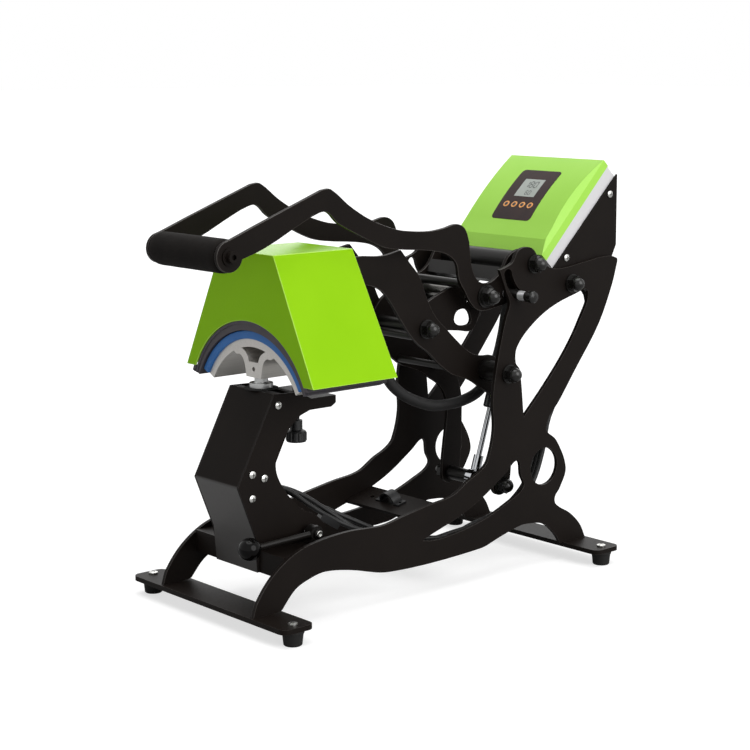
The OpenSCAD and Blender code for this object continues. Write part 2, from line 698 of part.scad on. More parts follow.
// Outline of the housing across the press, taken in by d
function hood_xz(d, z0, z1) = let (k = (hood_bottom - hood_top) / (hood_z1 - hood_z0),
  e = d * sqrt(1 + k * k), w0 = hood_bottom - (z0 - hood_z0) * k - e,
  w1 = hood_bottom - (z1 - hood_z0) * k - e) [[-w0, z0], [w0, z0], [w1, z1], [-w1, z1]];
module housing_shell() {
  color("#7CC41E") place() difference() {
    intersection() {
      along_y(44, 169, hood_xz(0, hood_z0, hood_z1));
      plate(-150, 150, [[44, hood_z0], [169, hood_z0], [161, hood_z1], [44, hood_z1]]);
    }
    intersection() {
      along_y(46, 167, hood_xz(hood_wall, hood_z0 - 1, hood_z1 - hood_wall));
      plate(-150, 150, [[44 + hood_wall, hood_z0 - 1], [169 - hood_wall, hood_z0 - 1],
        [161 - hood_wall, hood_z1 - hood_wall], [44 + hood_wall, hood_z1 - hood_wall]]);
    }
    translate([0, 200, heat_z]) rotate([90, 0, 0]) cylinder(h = 200, r = hood_arch, $fn = 128);
    for (s = [-1, 1]) translate([s * (crank_in + 2.5) - 2.7, 155, 378]) cube([5.4, 20, 38]);
    translate([20, 175, 366]) rotate([90, 0, 0]) cylinder(h = 20, r = 8);
  }
}
// Edge of the mat that shows below the housing on each side
module insulation_lip() {
  color("#6A666A") place() intersection() {
    arch_ring(heat_z, band_out + 0.05, lip_out, heat_y0 - 2, 162, 22.2);
    translate([-150, 0, 200]) cube([300, 200, hood_z0 - 200.1]);
  }
}
module heater_platen() {
  y1 = platen_y0 + platen_l + 2;
  color("#4A464C") place() difference() {
    arch_ring(heat_z, 50, heat_out, heat_y0, y1, 22.2);
    translate([0, y1 + 1, arch_z]) rotate([90, 0, 0]) cylinder(h = 150, r = heat_in, $fn = 128);
  }
}
module heater_backing() {
  color("#555058") place() arch_ring(heat_z, heat_out + 0.05, band_out, heat_y0 - 1,
    platen_y0 + platen_l + 2, 22.2);
}
conduit_run = [[20, 150, 366], [20, 172, 366], [20, 196, 352], [20, 218, 304], [20, 242.5, 255.5],
  [20, 266, 234], [20, 304, 217], [20, 328.5, 212.5], [20, 368, 214], [20, 399, 225],
  [20, 424, 254], [20, 438, 292], [20, 446, 330], [20, 456, 350], [20, 468, 364],
  [20, 476.2, 380], [20, 476.2, 398]];
module conduit() {
  color("#1B1B1C") place() sweep(path(conduit_run, 4), 7.2, 10);
}

// Toggle links, with a long hole at the elbow end
link_outline = [[269, 322.7], [270.6, 333], [285, 348], [313, 360], [342, 369], [364, 370],
  [377, 358], [377, 340], [372, 322], [361, 307], [338, 309], [315, 311], [292, 307.4],
  [278.4, 307.1], [273.6, 308.1], [269.5, 311.5], [267.7, 317.5]];
module toggle_links() {
  dir = unit(pd - pe);
  color("#2B2928") place() both_sides() difference() {
    plate(link_in, link_x, smooth(link_outline, 4));
    cross(pe, toggle_d / 2 + 0.06, link_in - 1, link_x + 1);
    for (s = [-1, 1]) cross(pd + 3.5 * s * dir, shaft_r + 2.2, link_in - 1, link_x + 1);
    plate(link_in - 1, link_x + 1, [for (q = [[-3.5, -1], [3.5, -1], [3.5, 1], [-3.5, 1]])
      pd + q[0] * dir + (shaft_r + 2.2) * q[1] * [-dir[1], dir[0]]]);
    plate(link_in - 1, link_x + 1, smooth([[331, 323], [337, 334], [353, 334], [360, 322],
      [356, 315], [338, 316]], 3));
  }
}

// Gas strut from the strut shaft down to the tail shaft
module along_strut(d) {
  translate([0, pb[0], pb[1]]) rotate([atan2(strut_u[1], strut_u[0]) + 90, 0, 0])
    translate([0, 0, d]) children();
}
strut_l = norm(pt - pb);
cyl_end = 176;
module strut_cylinder() {
  color("#1B1B1C") place() difference() {
    union() {
      cross(pb, 10, -8.6, 8.6);
      along_strut(-cyl_end) rotate_extrude() polygon([[4.2, 0], [8, 0], [9.5, 1.5],
        [9.5, cyl_end - 16], [7, cyl_end - 14], [7, cyl_end - 9], [4.2, cyl_end - 9]]);
      along_strut(-30) cylinder(h = 21, r = 6.5);
    }
    cross(pb, shaft_r + 0.06, -10, 10);
  }
}
module strut_rod() {
  color("#CFCFCD") place() difference() {
    union() {
      along_strut(-strut_l + 8) cylinder(h = strut_l - 60, r = 3.5);
      along_strut(-strut_l + 8) cylinder(h = 22, r = 6.5);
      cross(pt, 12, -5.4, 5.4);
    }
    cross(pt, toggle_d / 2 + 0.8, -10, 10);
  }
}

front_foot_bar();
rear_foot_bar();
rubber_feet();
foot_screws();
frame_plate_left();
frame_plate_right();
front_cross_panel();
cross_plate();
cable_clip();
pedestal_sides();
pedestal_front();
pedestal_top();
pedestal_screws();
platen_post();
lower_platen();
platen_pad();
pivot_shafts();
shaft_spacers();
frame_cap_nuts();
controller_bracket();
controller_base();
controller_cover();
display_window();
display_screen();
bracket_screws();
power_inlet();
base_cables();
adjusting_knob();
ball_lever();
ball_knob();
lever_arm_left();
lever_arm_right();
grip_core();
foam_grip();
grip_bolts();
lever_tie_bars();
lever_sleeve();
elbow_shaft();
elbow_nuts();
stop_studs();
stud_heads();
crank_arm_left();
crank_arm_right();
crank_rods();
crank_shafts();
crank_nuts();
platen_hanger();
housing_shell();
insulation_lip();
heater_platen();
heater_backing();
conduit();
toggle_links();
strut_cylinder();
strut_rod();
button_1();
button_2();
button_3();
button_4();
rocker_switch();
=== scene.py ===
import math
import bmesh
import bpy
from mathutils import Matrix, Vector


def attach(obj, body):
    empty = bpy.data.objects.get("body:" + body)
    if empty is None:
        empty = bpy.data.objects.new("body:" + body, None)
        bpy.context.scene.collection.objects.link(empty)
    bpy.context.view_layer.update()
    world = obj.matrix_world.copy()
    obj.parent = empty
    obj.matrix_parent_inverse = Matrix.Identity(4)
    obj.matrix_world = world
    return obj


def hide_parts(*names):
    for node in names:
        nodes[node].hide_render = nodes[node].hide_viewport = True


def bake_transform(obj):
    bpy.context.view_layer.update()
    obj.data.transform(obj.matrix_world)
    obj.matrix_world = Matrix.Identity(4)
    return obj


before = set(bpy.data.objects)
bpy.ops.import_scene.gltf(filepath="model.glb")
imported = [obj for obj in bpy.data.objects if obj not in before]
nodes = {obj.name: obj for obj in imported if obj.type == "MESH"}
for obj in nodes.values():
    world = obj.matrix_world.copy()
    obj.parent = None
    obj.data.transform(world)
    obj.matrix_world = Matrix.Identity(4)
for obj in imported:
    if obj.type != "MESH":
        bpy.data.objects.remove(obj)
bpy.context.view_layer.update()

# %% [markdown]
# # Cap heat press with a curved platen
# The press is a bench machine: two scroll-cut steel plates carry a hand lever, the lever turns a
# crank through toggle links, and the crank brings a heated platen down on a curved silicone pad.
# The frame from the CAD model is loaded above. This lesson gives it its finishes, rounds its edges,
# and makes the soft, braided and printed pieces that a solid modeller only stands in for.

MM = 0.001

# %% [markdown]
# ## The drawing's millimetres
# The side views of the press are drawn from the centre line of the front foot bar, so every place
# below is given as x across, y back from that line and z up from the table, in millimetres. One
# function turns them to metres in the scene, and one matrix does the same for the sloped face of
# the control box, where y runs up the slope and z stands out of the face.

# %% Places
FRONT_BAR = -265.4


def at(x, y, z):
    return Vector((x * MM, (y + FRONT_BAR) * MM, z * MM))


SLOPE = math.radians(45.7)
FACE = Matrix.Translation(at(0, 499, 456.5)) @ Matrix.Rotation(SLOPE, 4, "X")
CROWN_R = 326.6
CROWN_TOP = 10
KEY_ROW = -11


def crown(y):
    """Height of the crowned face over the box, at y up the slope."""
    return CROWN_TOP - CROWN_R + math.sqrt(CROWN_R ** 2 - y ** 2)


print("crown at the keys", round(crown(KEY_ROW), 2), "mm")

# %% [markdown]
# ## Camera
# The photograph is taken from the front right, a little above the lever, from about two metres.
# The place, the turn and the lens are worked out from points on the plates, so the same points
# land on the same places of the square picture. The middle of the view isn't quite the middle of
# the picture, as in a cropped photograph, and the shift moves it.

# %% Camera at the photograph's angle
PICTURE = 750
FOCAL = 1846.15
VIEW_MIDDLE = (402.59, 339.94)
SENSOR = 36
EYE_AT = at(1698, -1215.4, 644.8)
turn = math.radians(48.56)
dip = math.radians(8.71)
back = Vector((math.sin(turn) * math.cos(dip), -math.cos(turn) * math.cos(dip), math.sin(dip)))
right = Vector((math.cos(turn), math.sin(turn), 0))
up = back.cross(right)
eye = bpy.data.cameras.new("eye")
eye.lens = FOCAL / PICTURE * SENSOR
eye.sensor_width = SENSOR
eye.shift_x = (PICTURE / 2 - VIEW_MIDDLE[0]) / PICTURE
eye.shift_y = (VIEW_MIDDLE[1] - PICTURE / 2) / PICTURE
camera = bpy.data.objects.new("eye", eye)
facing = Matrix((right, up, back)).transposed().to_4x4()
camera.matrix_world = Matrix.Translation(EYE_AT) @ facing
bpy.context.collection.objects.link(camera)
bpy.context.scene.camera = camera
bpy.context.scene.view_settings.view_transform = "Standard"
print("lens", round(eye.lens, 1), "mm")

# %% [markdown]
# ## Colour and nodes
# Colours are written as they look on a screen, as hex values, and one function turns them to the
# linear values that the shader wants. A second function starts an empty material, and a third adds
# one node with its settings, the values of its sockets and the links into them, so that each
# finish reads like a recipe.

# %% Helpers for finishes


def linear(text):
    """Linear colour of an sRGB hex value."""
    parts = [int(text[i:i + 2], 16) / 255 for i in (0, 2, 4)]
    out = [c / 12.92 if c <= 0.04045 else ((c + 0.055) / 1.055) ** 2.4 for c in parts]
    return (*out, 1.0)


def blank(name):
    """New material with an empty node tree, and the tree."""
    made = bpy.data.materials.new(name)
    made.use_nodes = True
    made.node_tree.nodes.clear()
    return made, made.node_tree


def add(tree, kind, values=None, links=None, **settings):
    """Adds a node with its settings, and sets or links its sockets by their identifiers."""
    made = tree.nodes.new(kind)
    for name, value in settings.items():
        setattr(made, name, value)
    sockets = {s.identifier: s for s in made.inputs}
    for name, value in (values or {}).items():
        sockets[name].default_value = value
    for name, source in (links or {}).items():
        tree.links.new(source, sockets[name])
    return made


# %% [markdown]
# ## A skin in two scales
# Paint, plastic and rubber share one build: the colour wanders between two close tones over
# patches of some centimetres, a fine grain sits in the skin as a bump, and the gloss varies with
# the grain. Only the sizes and values differ, so one function takes them, and each finish below
# says what it is and what its numbers give the eye.

# %% One skin, many finishes


def skin(name, dark, light, patch, grain, height, gloss, specular=0.5, **shader):
    """Finish with patches and grain of these sizes in mm. gloss is (lowest, highest) roughness."""
    made, tree = blank(name)
    place = add(tree, "ShaderNodeTexCoord").outputs["Object"]
    wide = add(tree, "ShaderNodeTexNoise", {"Scale": 1000 / patch, "Detail": 3.0},
               {"Vector": place})
    fine = add(tree, "ShaderNodeTexNoise", {"Scale": 1000 / grain, "Detail": 2.0},
               {"Vector": place})
    tone = add(tree, "ShaderNodeMix", {"A_Color": linear(dark), "B_Color": linear(light)},
               {"Factor_Float": wide.outputs["Fac"]}, data_type="RGBA")
    rough = add(tree, "ShaderNodeMapRange", {"To Min": gloss[0], "To Max": gloss[1]},
                {"Value": fine.outputs["Fac"]})
    bump = add(tree, "ShaderNodeBump", {"Strength": 1.0, "Distance": height * MM},
               {"Height": fine.outputs["Fac"]})
    body = add(tree, "ShaderNodeBsdfPrincipled", {"Specular IOR Level": specular, **shader},
               {"Base Color": tone.outputs[2], "Roughness": rough.outputs["Result"],
                "Normal": bump.outputs["Normal"]})
    add(tree, "ShaderNodeOutputMaterial", None, {"Surface": body.outputs["BSDF"]})
    return made


# %% [markdown]
# ## Black powder coat
# The plates, arms and foot bars are steel with a satin black epoxy powder coat. Baked powder
# flows into an orange peel of about 1.5 mm, which breaks up the highlights, and the coat looks a
# warm near-black. The nuts have a thicker, glossier coat, and the drawn black tubes between the
# arms a smoother one. Along cut edges a paler, shinier coat is painted in the rounding, a painted
# highlight where the edge catches the light. The lower panel of the pedestal has a painted sheen
# that makes it shine more than the panel above, so its gloss follows the height, and changes at
# the fold of the sheet.

# %% Powder coats
powder = skin("black_epoxy_powder_coat", "0F0B09", "191411", 60, 1.5, 0.02, (0.4, 0.54), 0.09)
nut_coat = skin("gloss_black_nut_enamel", "11100F", "1A1917", 30, 2.5, 0.01, (0.2, 0.3), 0.4)
tube_coat = skin("black_tube_enamel", "12100F", "1D1B19", 25, 2.0, 0.008, (0.28, 0.4), 0.25)
# paler coat for the roundings of edges: a painted highlight
edge_painted_highlight = skin("powder_edge_painted_highlight", "2C2724", "3D3733", 20, 1.5, 0.01, (0.25, 0.38), 0.35)
# lower pedestal panel, a little lighter and much shinier below the fold: a painted sheen
sheen_painted_coat = skin("powder_coat_painted_sheen", "120E0C", "1F1A17", 60, 1.5, 0.02, (0.3, 0.42))
FOLD_LOW = 159 * MM
FOLD_HIGH = 163 * MM
LOW_PAINTED_SHEEN = 0.8
UPPER_SHINE = 0.04
tree = sheen_painted_coat.node_tree
place = add(tree, "ShaderNodeTexCoord").outputs["Object"]
height = add(tree, "ShaderNodeSeparateXYZ", None, {"Vector": place})
# the painted sheen: high specular below the fold of the sheet, low above it
shine = add(tree, "ShaderNodeMapRange",
            {"From Min": FOLD_LOW, "From Max": FOLD_HIGH, "To Min": LOW_PAINTED_SHEEN,
             "To Max": UPPER_SHINE}, {"Value": height.outputs["Z"]})
tree.links.new(shine.outputs["Result"],
               tree.nodes["Principled BSDF"].inputs["Specular IOR Level"])
print("coats", powder.name, nut_coat.name, tube_coat.name, edge_painted_highlight.name, sheen_painted_coat.name)

# %% [markdown]
# ## Lime powder coat and lime plastic
# The housing of the heated platen is folded sheet with a glossy lime powder coat, whose peel is
# finer than on the plates. The cover of the control box is moulded ABS in nearly the same lime,
# with a slight fine texture from the mould, and the box under it is the same plastic in white.
# Both limes are a warm yellow-green with a clear gloss. Where an edge is rounded it catches the
# light, so a paler lime is painted in the roundings as a painted highlight.

# %% Lime finishes
lime_coat = skin("lime_powder_coat", "8BC710", "96D018", 90, 1.2, 0.008, (0.2, 0.3), 0.06)
lime_abs = skin("lime_moulded_abs", "A6E450", "B2EC60", 70, 0.8, 0.01, (0.26, 0.38), 0.25)
# paler lime for the roundings: a painted highlight
lime_edge_highlight_paint = skin("lime_coat_painted_edge_highlight", "A9DF40", "B8E856", 40, 1.2, 0.004, (0.15, 0.25), 0.3)
white_abs = skin("white_moulded_abs", "D9D8DA", "E4E3E4", 60, 0.8, 0.01, (0.3, 0.42), IOR=1.53)
print("limes", lime_coat.name, lime_abs.name, lime_edge_highlight_paint.name, "and", white_abs.name)

# %% [markdown]
# ## Black plastics, rubber and leads
# The knob, the clip and the sockets are moulded black ABS, the ball on the tension lever is
# phenolic, polished like glass, and the feet are matt moulded rubber that takes dust in its
# grain. The leads have a soft PVC jacket with a dull sheen, and the tube of the gas strut is
# enamelled, with the smooth gloss of a dipped coat.

# %% Black plastics and rubber
black_abs = skin("black_moulded_abs", "0D0D0E", "161617", 20, 0.7, 0.02, (0.38, 0.5), 0.4,
                 IOR=1.53)
phenolic = skin("polished_phenolic", "040303", "080707", 30, 6.0, 0.004, (0.05, 0.1), 0.12)
rubber = skin("moulded_rubber", "101010", "1C1B1A", 8, 0.6, 0.05, (0.7, 0.85), 0.3)
jacket = skin("pvc_lead_jacket", "0C0C0C", "151515", 12, 1.0, 0.02, (0.45, 0.6), 0.4)
strut_paint = skin("strut_tube_enamel", "0B0B0C", "131314", 40, 3.0, 0.005, (0.18, 0.28))
print("blacks", black_abs.name, phenolic.name, rubber.name, jacket.name, strut_paint.name)

# %% [markdown]
# ## Plated metal and the heater's coat
# Screws are zinc plated and bright, with a faint cloudy crystal. The strut's rod is hard chrome,
# smooth as a mirror. In the cross of each screw the zinc is darkened where little sky reaches it,
# which is painted shade in the recess. The heater's band has a baked release coat, a matt dark
# grey.
# Metals keep the shader's default index and get their look from colour and roughness.

# %% Zinc, chrome and heater coat
zinc = skin("bright_zinc_plate", "C8C8C4", "DEDEDA", 3, 0.8, 0.01, (0.2, 0.34), Metallic=1.0)
chrome = skin("hard_chrome", "B2B4B7", "C6C8CB", 20, 2.0, 0.002, (0.05, 0.12), Metallic=1.0)


SKY_AT_FULL_SHADE = 0.4  # the share of open sky at which a place is all painted shade
SKY_AT_NO_SHADE = 0.85  # and at which it has no painted shade


def painted_recess_shade(finish, reach, shade_tint):
    """Paints shade into a finish in corners and recesses of up to reach mm."""
    tree = finish.node_tree
    body = tree.nodes["Principled BSDF"]
    unshaded_colour = body.inputs["Base Color"].links[0].from_socket
    sky_seen = add(tree, "ShaderNodeAmbientOcclusion", {"Distance": reach * MM}, samples=8)
    share = add(tree, "ShaderNodeMapRange", {"From Min": SKY_AT_FULL_SHADE, "From Max": SKY_AT_NO_SHADE},
                {"Value": sky_seen.outputs["AO"]})
    tone = add(tree, "ShaderNodeMix", {"A_Color": linear(shade_tint)},
               {"Factor_Float": share.outputs["Result"], "B_Color": unshaded_colour}, data_type="RGBA")
    tree.links.new(tone.outputs[2], body.inputs["Base Color"])


# painted shade in the cross recesses of the screws
painted_recess_shade(zinc, 1.6, "1E1C1A")
heater_coat = skin("baked_release_coat", "39353A", "4A454A", 18, 0.8, 0.03, (0.5, 0.65))
print("plates and coats", zinc.name, chrome.name, heater_coat.name)

# %% [markdown]
# ## Turned steel
# The shafts, the stop studs and the platen's post are turned from bar: the tool leaves fine rings
# round the axis, drawn here as light and dark bands along it. Real rings are finer than the
# picture shows, so they are drawn coarse enough to be seen. The cross rods are oxidised black,
# and the studs are polished until they look nearly white.

# %% Turned steel with rings from the tool
BANDS_PER_METRE = 6.3  # light and dark bands of a wave texture at scale 1


def turned(name, dark, light, ring, gloss, axis, metal=1.0):
    """Turned metal with rings round an axis. ring is the width of a light or dark band in mm."""
    made, tree = blank(name)
    place = add(tree, "ShaderNodeTexCoord").outputs["Object"]
    rings = add(tree, "ShaderNodeTexWave",
                {"Scale": 1000 / (ring * BANDS_PER_METRE), "Distortion": 0.6},
                {"Vector": place}, bands_direction=axis)
    tone = add(tree, "ShaderNodeMix", {"A_Color": linear(dark), "B_Color": linear(light)},
               {"Factor_Float": rings.outputs["Fac"]}, data_type="RGBA")
    rough = add(tree, "ShaderNodeMapRange", {"To Min": gloss[0], "To Max": gloss[1]},
                {"Value": rings.outputs["Fac"]})
    bump = add(tree, "ShaderNodeBump", {"Strength": 0.6, "Distance": 0.01 * MM},
               {"Height": rings.outputs["Fac"]})
    body = add(tree, "ShaderNodeBsdfPrincipled", {"Metallic": metal},
               {"Base Color": tone.outputs[2], "Roughness": rough.outputs["Result"],
                "Normal": bump.outputs["Normal"]})
    add(tree, "ShaderNodeOutputMaterial", None, {"Surface": body.outputs["BSDF"]})
    return made


shaft_steel = turned("turned_steel", "8A8986", "A3A29E", 0.8, (0.24, 0.36), "X")
stud_steel = turned("bright_turned_steel", "DCDDDF", "F2F2F4", 0.9, (0.34, 0.46), "X", 0.55)
oxide_steel = turned("black_oxide_steel", "2A2928", "3B3A39", 0.8, (0.3, 0.42), "X")
post_steel = turned("turned_flange_steel", "B4B5B4", "D2D3D2", 0.7, (0.2, 0.32), "Z")
print("turned", shaft_steel.name, stud_steel.name, oxide_steel.name, post_steel.name)

# %% [markdown]
# ## Extruded aluminium
# The lower platen is an extruded bar of aluminium, sawn to length. Its sawn front face is pale
# and slightly rough with fine level saw marks, and its sides keep the faint long lines of the
# die. A wave that climbs along z gives the saw marks, a noise stretched along y the die lines.

# %% Extruded aluminium
DIE_LINES = (900, 12, 900)  # lines a millimetre apart and about eighty long
SAW_MARKS = 190  # marks under a millimetre wide
alu, tree = blank("extruded_aluminium")
place = add(tree, "ShaderNodeTexCoord").outputs["Object"]
long_way = add(tree, "ShaderNodeMapping", {"Scale": DIE_LINES}, {"Vector": place})
die_lines = add(tree, "ShaderNodeTexNoise", {"Scale": 1.0, "Detail": 2.0},
                {"Vector": long_way.outputs["Vector"]})
saw_marks = add(tree, "ShaderNodeTexWave",
                {"Scale": SAW_MARKS, "Distortion": 1.5, "Detail": 1.0},
                {"Vector": place}, bands_direction="Z")
both = add(tree, "ShaderNodeMath", None,
           {"Value": die_lines.outputs["Fac"], "Value_001": saw_marks.outputs["Fac"]})
tone = add(tree, "ShaderNodeMix", {"A_Color": linear("BEBBB6"), "B_Color": linear("DEDBD6")},
           {"Factor_Float": die_lines.outputs["Fac"]}, data_type="RGBA")
rough = add(tree, "ShaderNodeMapRange", {"To Min": 0.34, "To Max": 0.52},
            {"Value": die_lines.outputs["Fac"]})
bump = add(tree, "ShaderNodeBump", {"Strength": 0.7, "Distance": 0.02 * MM},
           {"Height": both.outputs["Value"]})
body = add(tree, "ShaderNodeBsdfPrincipled", {"Metallic": 0.7},
           {"Base Color": tone.outputs[2], "Roughness": rough.outputs["Result"],
            "Normal": bump.outputs["Normal"]})
add(tree, "ShaderNodeOutputMaterial", None, {"Surface": body.outputs["BSDF"]})
print("finish", alu.name)

# %% [markdown]
# ## Silicone, mats and foam
# The pad is blue silicone rubber, soft and slightly translucent to the eye, with a dull satin
# skin. The mat behind the heater is silicone-coated glass cloth, woven at about 1 mm. The grip
# is closed-cell foam, whose skin shows small round cells of about 1 mm, and the heater's leads
# run in a braided nylon sleeve, matt and uneven, with strands about 1 mm wide.

# %% Silicone, foam, mat and braid
silicone = skin("blue_silicone_rubber", "2A66AE", "3A7CC4", 25, 1.2, 0.03, (0.42, 0.56),
                **{"IOR": 1.41, "Subsurface Weight": 0.08, "Subsurface Scale": 2 * MM})
foam = skin("closed_cell_foam", "100E0D", "1C1917", 14, 1.0, 0.16, (0.75, 0.92), 0.1)
mat = skin("coated_glass_cloth", "403C44", "5A545C", 9, 1.0, 0.06, (0.6, 0.78))
braid = skin("braided_nylon_sleeve", "0B0B0B", "1B1A1A", 1.6, 0.9, 0.14, (0.5, 0.7), 0.4)
print("soft finishes", silicone.name, foam.name, mat.name, braid.name)

# %% [markdown]
# ## Layered edge of the mat
# Round the foot of the housing the mat ends in a lip of two plies. The lower one is nearly black,
# the upper one grey, and the cut fibres make both rough. The plies lie level, so the height above
# the table tells them apart, and a ramp one millimetre high makes the step from one to the other.

# %% Edge of the mat, in two plies
PLY_LOW = 274.5 * MM
PLY_HIGH = 275.5 * MM
FIBRES = 700  # tufts of about a millimetre and a half
edge_ply, tree = blank("layered_mat_edge")
place = add(tree, "ShaderNodeTexCoord").outputs["Object"]
height = add(tree, "ShaderNodeSeparateXYZ", None, {"Vector": place})
ply = add(tree, "ShaderNodeMapRange", {"From Min": PLY_LOW, "From Max": PLY_HIGH},
          {"Value": height.outputs["Z"]})
fibres = add(tree, "ShaderNodeTexNoise", {"Scale": FIBRES, "Detail": 3.0}, {"Vector": place})
tone = add(tree, "ShaderNodeMix", {"A_Color": linear("2A262C"), "B_Color": linear("4E494F")},
           {"Factor_Float": ply.outputs["Result"]}, data_type="RGBA")
bump = add(tree, "ShaderNodeBump", {"Strength": 0.8, "Distance": 0.08 * MM},
           {"Height": fibres.outputs["Fac"]})
body = add(tree, "ShaderNodeBsdfPrincipled", {"Roughness": 0.8},
           {"Base Color": tone.outputs[2], "Normal": bump.outputs["Normal"]})
add(tree, "ShaderNodeOutputMaterial", None, {"Surface": body.outputs["BSDF"]})
print("finish", edge_ply.name)

# %% [markdown]
# ## The display
# The panel is a polyester film, printed purple-black on its back, so the gloss lies over the
# colour. The liquid crystal window is grey-green glass with dark digits, and each key is a black
# rubber dome inside an orange ring.

# %% Display finishes
film = skin("back_printed_film", "251B1F", "402C28", 30, 1.5, 0.004, (0.12, 0.2), 0.2)
crystal = skin("liquid_crystal_glass", "A3ABA4", "BCC2BC", 15, 2.0, 0.002, (0.1, 0.18), IOR=1.52)
ink = skin("liquid_crystal_ink", "1C2022", "2A2F30", 6, 1.0, 0.004, (0.25, 0.35))
orange = skin("orange_printed_ring", "F0A050", "FFC078", 3, 0.5, 0.006, (0.3, 0.42))
dome_black = skin("black_key_dome", "141012", "221A1C", 3, 0.5, 0.01, (0.3, 0.45))
print("display", film.name, crystal.name, ink.name, orange.name, dome_black.name)

# %% [markdown]
# ## Finishes on the frame
# A CAD node whose shape is right only gets its finish. The table below names the finish for each
# node, and the loop puts it in the node's material slots.

# %% Dress the frame
wear = {
    powder: "front_foot_bar rear_foot_bar frame_plate_left frame_plate_right front_cross_panel "
            "cross_plate pedestal_sides pedestal_front pedestal_top controller_bracket "
            "lever_arm_left lever_arm_right crank_arm_left crank_arm_right toggle_links "
            "platen_hanger grip_bolts",
    nut_coat: "frame_cap_nuts elbow_nuts crank_nuts stud_heads",
    tube_coat: "shaft_spacers lever_tie_bars lever_sleeve crank_rods grip_core ball_lever",
    rubber: "rubber_feet",
    zinc: "foot_screws pedestal_screws bracket_screws",
    shaft_steel: "pivot_shafts elbow_shaft",
    oxide_steel: "crank_shafts",
    stud_steel: "stop_studs",
    post_steel: "platen_post",
    alu: "lower_platen",
    silicone: "platen_pad",
    lime_coat: "housing_shell",
    lime_abs: "controller_cover",
    white_abs: "controller_base",
    film: "display_window",
    crystal: "display_screen",
    orange: "button_1 button_2 button_3 button_4",
    black_abs: "adjusting_knob power_inlet rocker_switch cable_clip",
    phenolic: "ball_knob",
    foam: "foam_grip",
    heater_coat: "heater_platen",
    mat: "heater_backing",
    edge_ply: "insulation_lip",
    jacket: "base_cables conduit",
    strut_paint: "strut_cylinder",
    chrome: "strut_rod",
}
for finish, names in wear.items():
    for name in names.split():
        for slot in nodes[name].material_slots:
            slot.material = finish
print("dressed", sum(len(names.split()) for names in wear.values()), "of", len(nodes), "nodes")

# %% [markdown]
# ## Working in edit mode from code
# An operator acts on all that is selected, so each piece starts with nothing selected. Faces,
# edges and points are picked by a test on their place or normal, as a hand would click them.
# Most pieces have their sharp edges rounded. Every piece then ends the same way: its place goes
# into its mesh, it is shaded, and it is given its finish and hung on its body where it has one.

# %% Helpers for modelling


def clear():
    """Object mode with nothing selected."""
    if bpy.context.object and bpy.context.object.mode != "OBJECT":
        bpy.ops.object.mode_set(mode="OBJECT")
    bpy.ops.object.select_all(action="DESELECT")


def pick(piece, kind, test):
    """In edit mode, selects the points, edges or faces for which test is true."""
    bpy.ops.mesh.select_mode(type=kind)
    bpy.ops.mesh.select_all(action="DESELECT")
    mesh = bmesh.from_edit_mesh(piece.data)
    parts = {"VERT": mesh.verts, "EDGE": mesh.edges, "FACE": mesh.faces}[kind]
    found = [part for part in parts if test(part)]
    for part in found:
        part.select_set(True)
    mesh.select_flush_mode()
    bmesh.update_edit_mesh(piece.data)
    return len(found)


def close_up():
    """In edit mode, merges doubled points, turns all faces outwards and goes to object mode."""
    bpy.ops.mesh.select_all(action="SELECT")
    bpy.ops.mesh.remove_doubles(threshold=0.01 * MM)
    bpy.ops.mesh.normals_make_consistent(inside=False)
    bpy.ops.object.mode_set(mode="OBJECT")


def soften(piece, width, steps=2, limit=30, rim=-1):
    """Rounds the sharp edges of the piece by width mm. rim is the slot of the edge's finish."""
    edge = piece.modifiers.new("rounded", "BEVEL")
    edge.width = width * MM
    edge.segments = steps
    edge.limit_method = "ANGLE"
    edge.angle_limit = math.radians(limit)
    edge.use_clamp_overlap = True
    edge.material = rim
    bpy.ops.object.modifier_apply(modifier=edge.name)


def settle(piece, name, finish, body, *stands_for, angle=40):
    """Puts the finished piece's place in its mesh, shades it and hangs it on its body.

    The shading normals follow the larger faces, so that flat faces look flat beside a rounding."""
    clear()
    piece.select_set(True)
    bpy.context.view_layer.objects.active = piece
    bpy.ops.object.transform_apply(location=True, rotation=True, scale=True)
    bpy.ops.object.shade_smooth_by_angle(angle=math.radians(angle))
    even = piece.modifiers.new("even", "WEIGHTED_NORMAL")
    even.keep_sharp = True
    bpy.ops.object.modifier_apply(modifier=even.name)
    piece.name = name
    piece.data.name = name
    if finish:
        piece.data.materials.clear()
        piece.data.materials.append(finish)
    if body:
        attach(piece, body)
    if stands_for:
        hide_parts(*stands_for)
    print(name, len(piece.data.polygons), "faces")
    return piece


# %% [markdown]
# ## Cut edges that catch the light
# A laser-cut plate never has a knife edge: the cut is deburred and the coat pulls back from the
# corner, so each edge shows a thin line of light. The CAD parts have sharp edges. Each is copied,
# the copy's loose triangles are merged to flat faces, and its edges are rounded by a few tenths
# of a millimetre. On the coated parts a paler coat goes in the rounding as a painted highlight.
# Moulded parts are rounded more than cut ones, and so are the folded edges of the housing.

# %% Bars, sheets and mouldings with softened edges
MERGE = 0.002  # points of the copy that are closer than this, in mm, become one
FLAT = math.radians(0.4)  # faces that turn by less than this become one


def softened(node, body, width, finish, rim, steps=2, limit=30, shape=None):
    """Copy of a CAD node with rounded edges, which stands for the node. shape is done first."""
    clear()
    piece = bpy.data.objects.new(node, nodes[node].data.copy())
    bpy.context.collection.objects.link(piece)
    piece.data.materials.clear()
    piece.data.materials.append(finish)
    piece.data.materials.append(rim)
    piece.select_set(True)
    bpy.context.view_layer.objects.active = piece
    bpy.ops.mesh.customdata_custom_splitnormals_clear()
    bpy.ops.object.mode_set(mode="EDIT")
    bpy.ops.mesh.select_all(action="SELECT")
    bpy.ops.mesh.remove_doubles(threshold=MERGE * MM)
    bpy.ops.mesh.dissolve_limited(angle_limit=FLAT)
    if shape:
        shape(piece)
    bpy.ops.object.mode_set(mode="OBJECT")
    soften(piece, width, steps, limit, 1)
    return settle(piece, "soft_" + node, None, body, node)


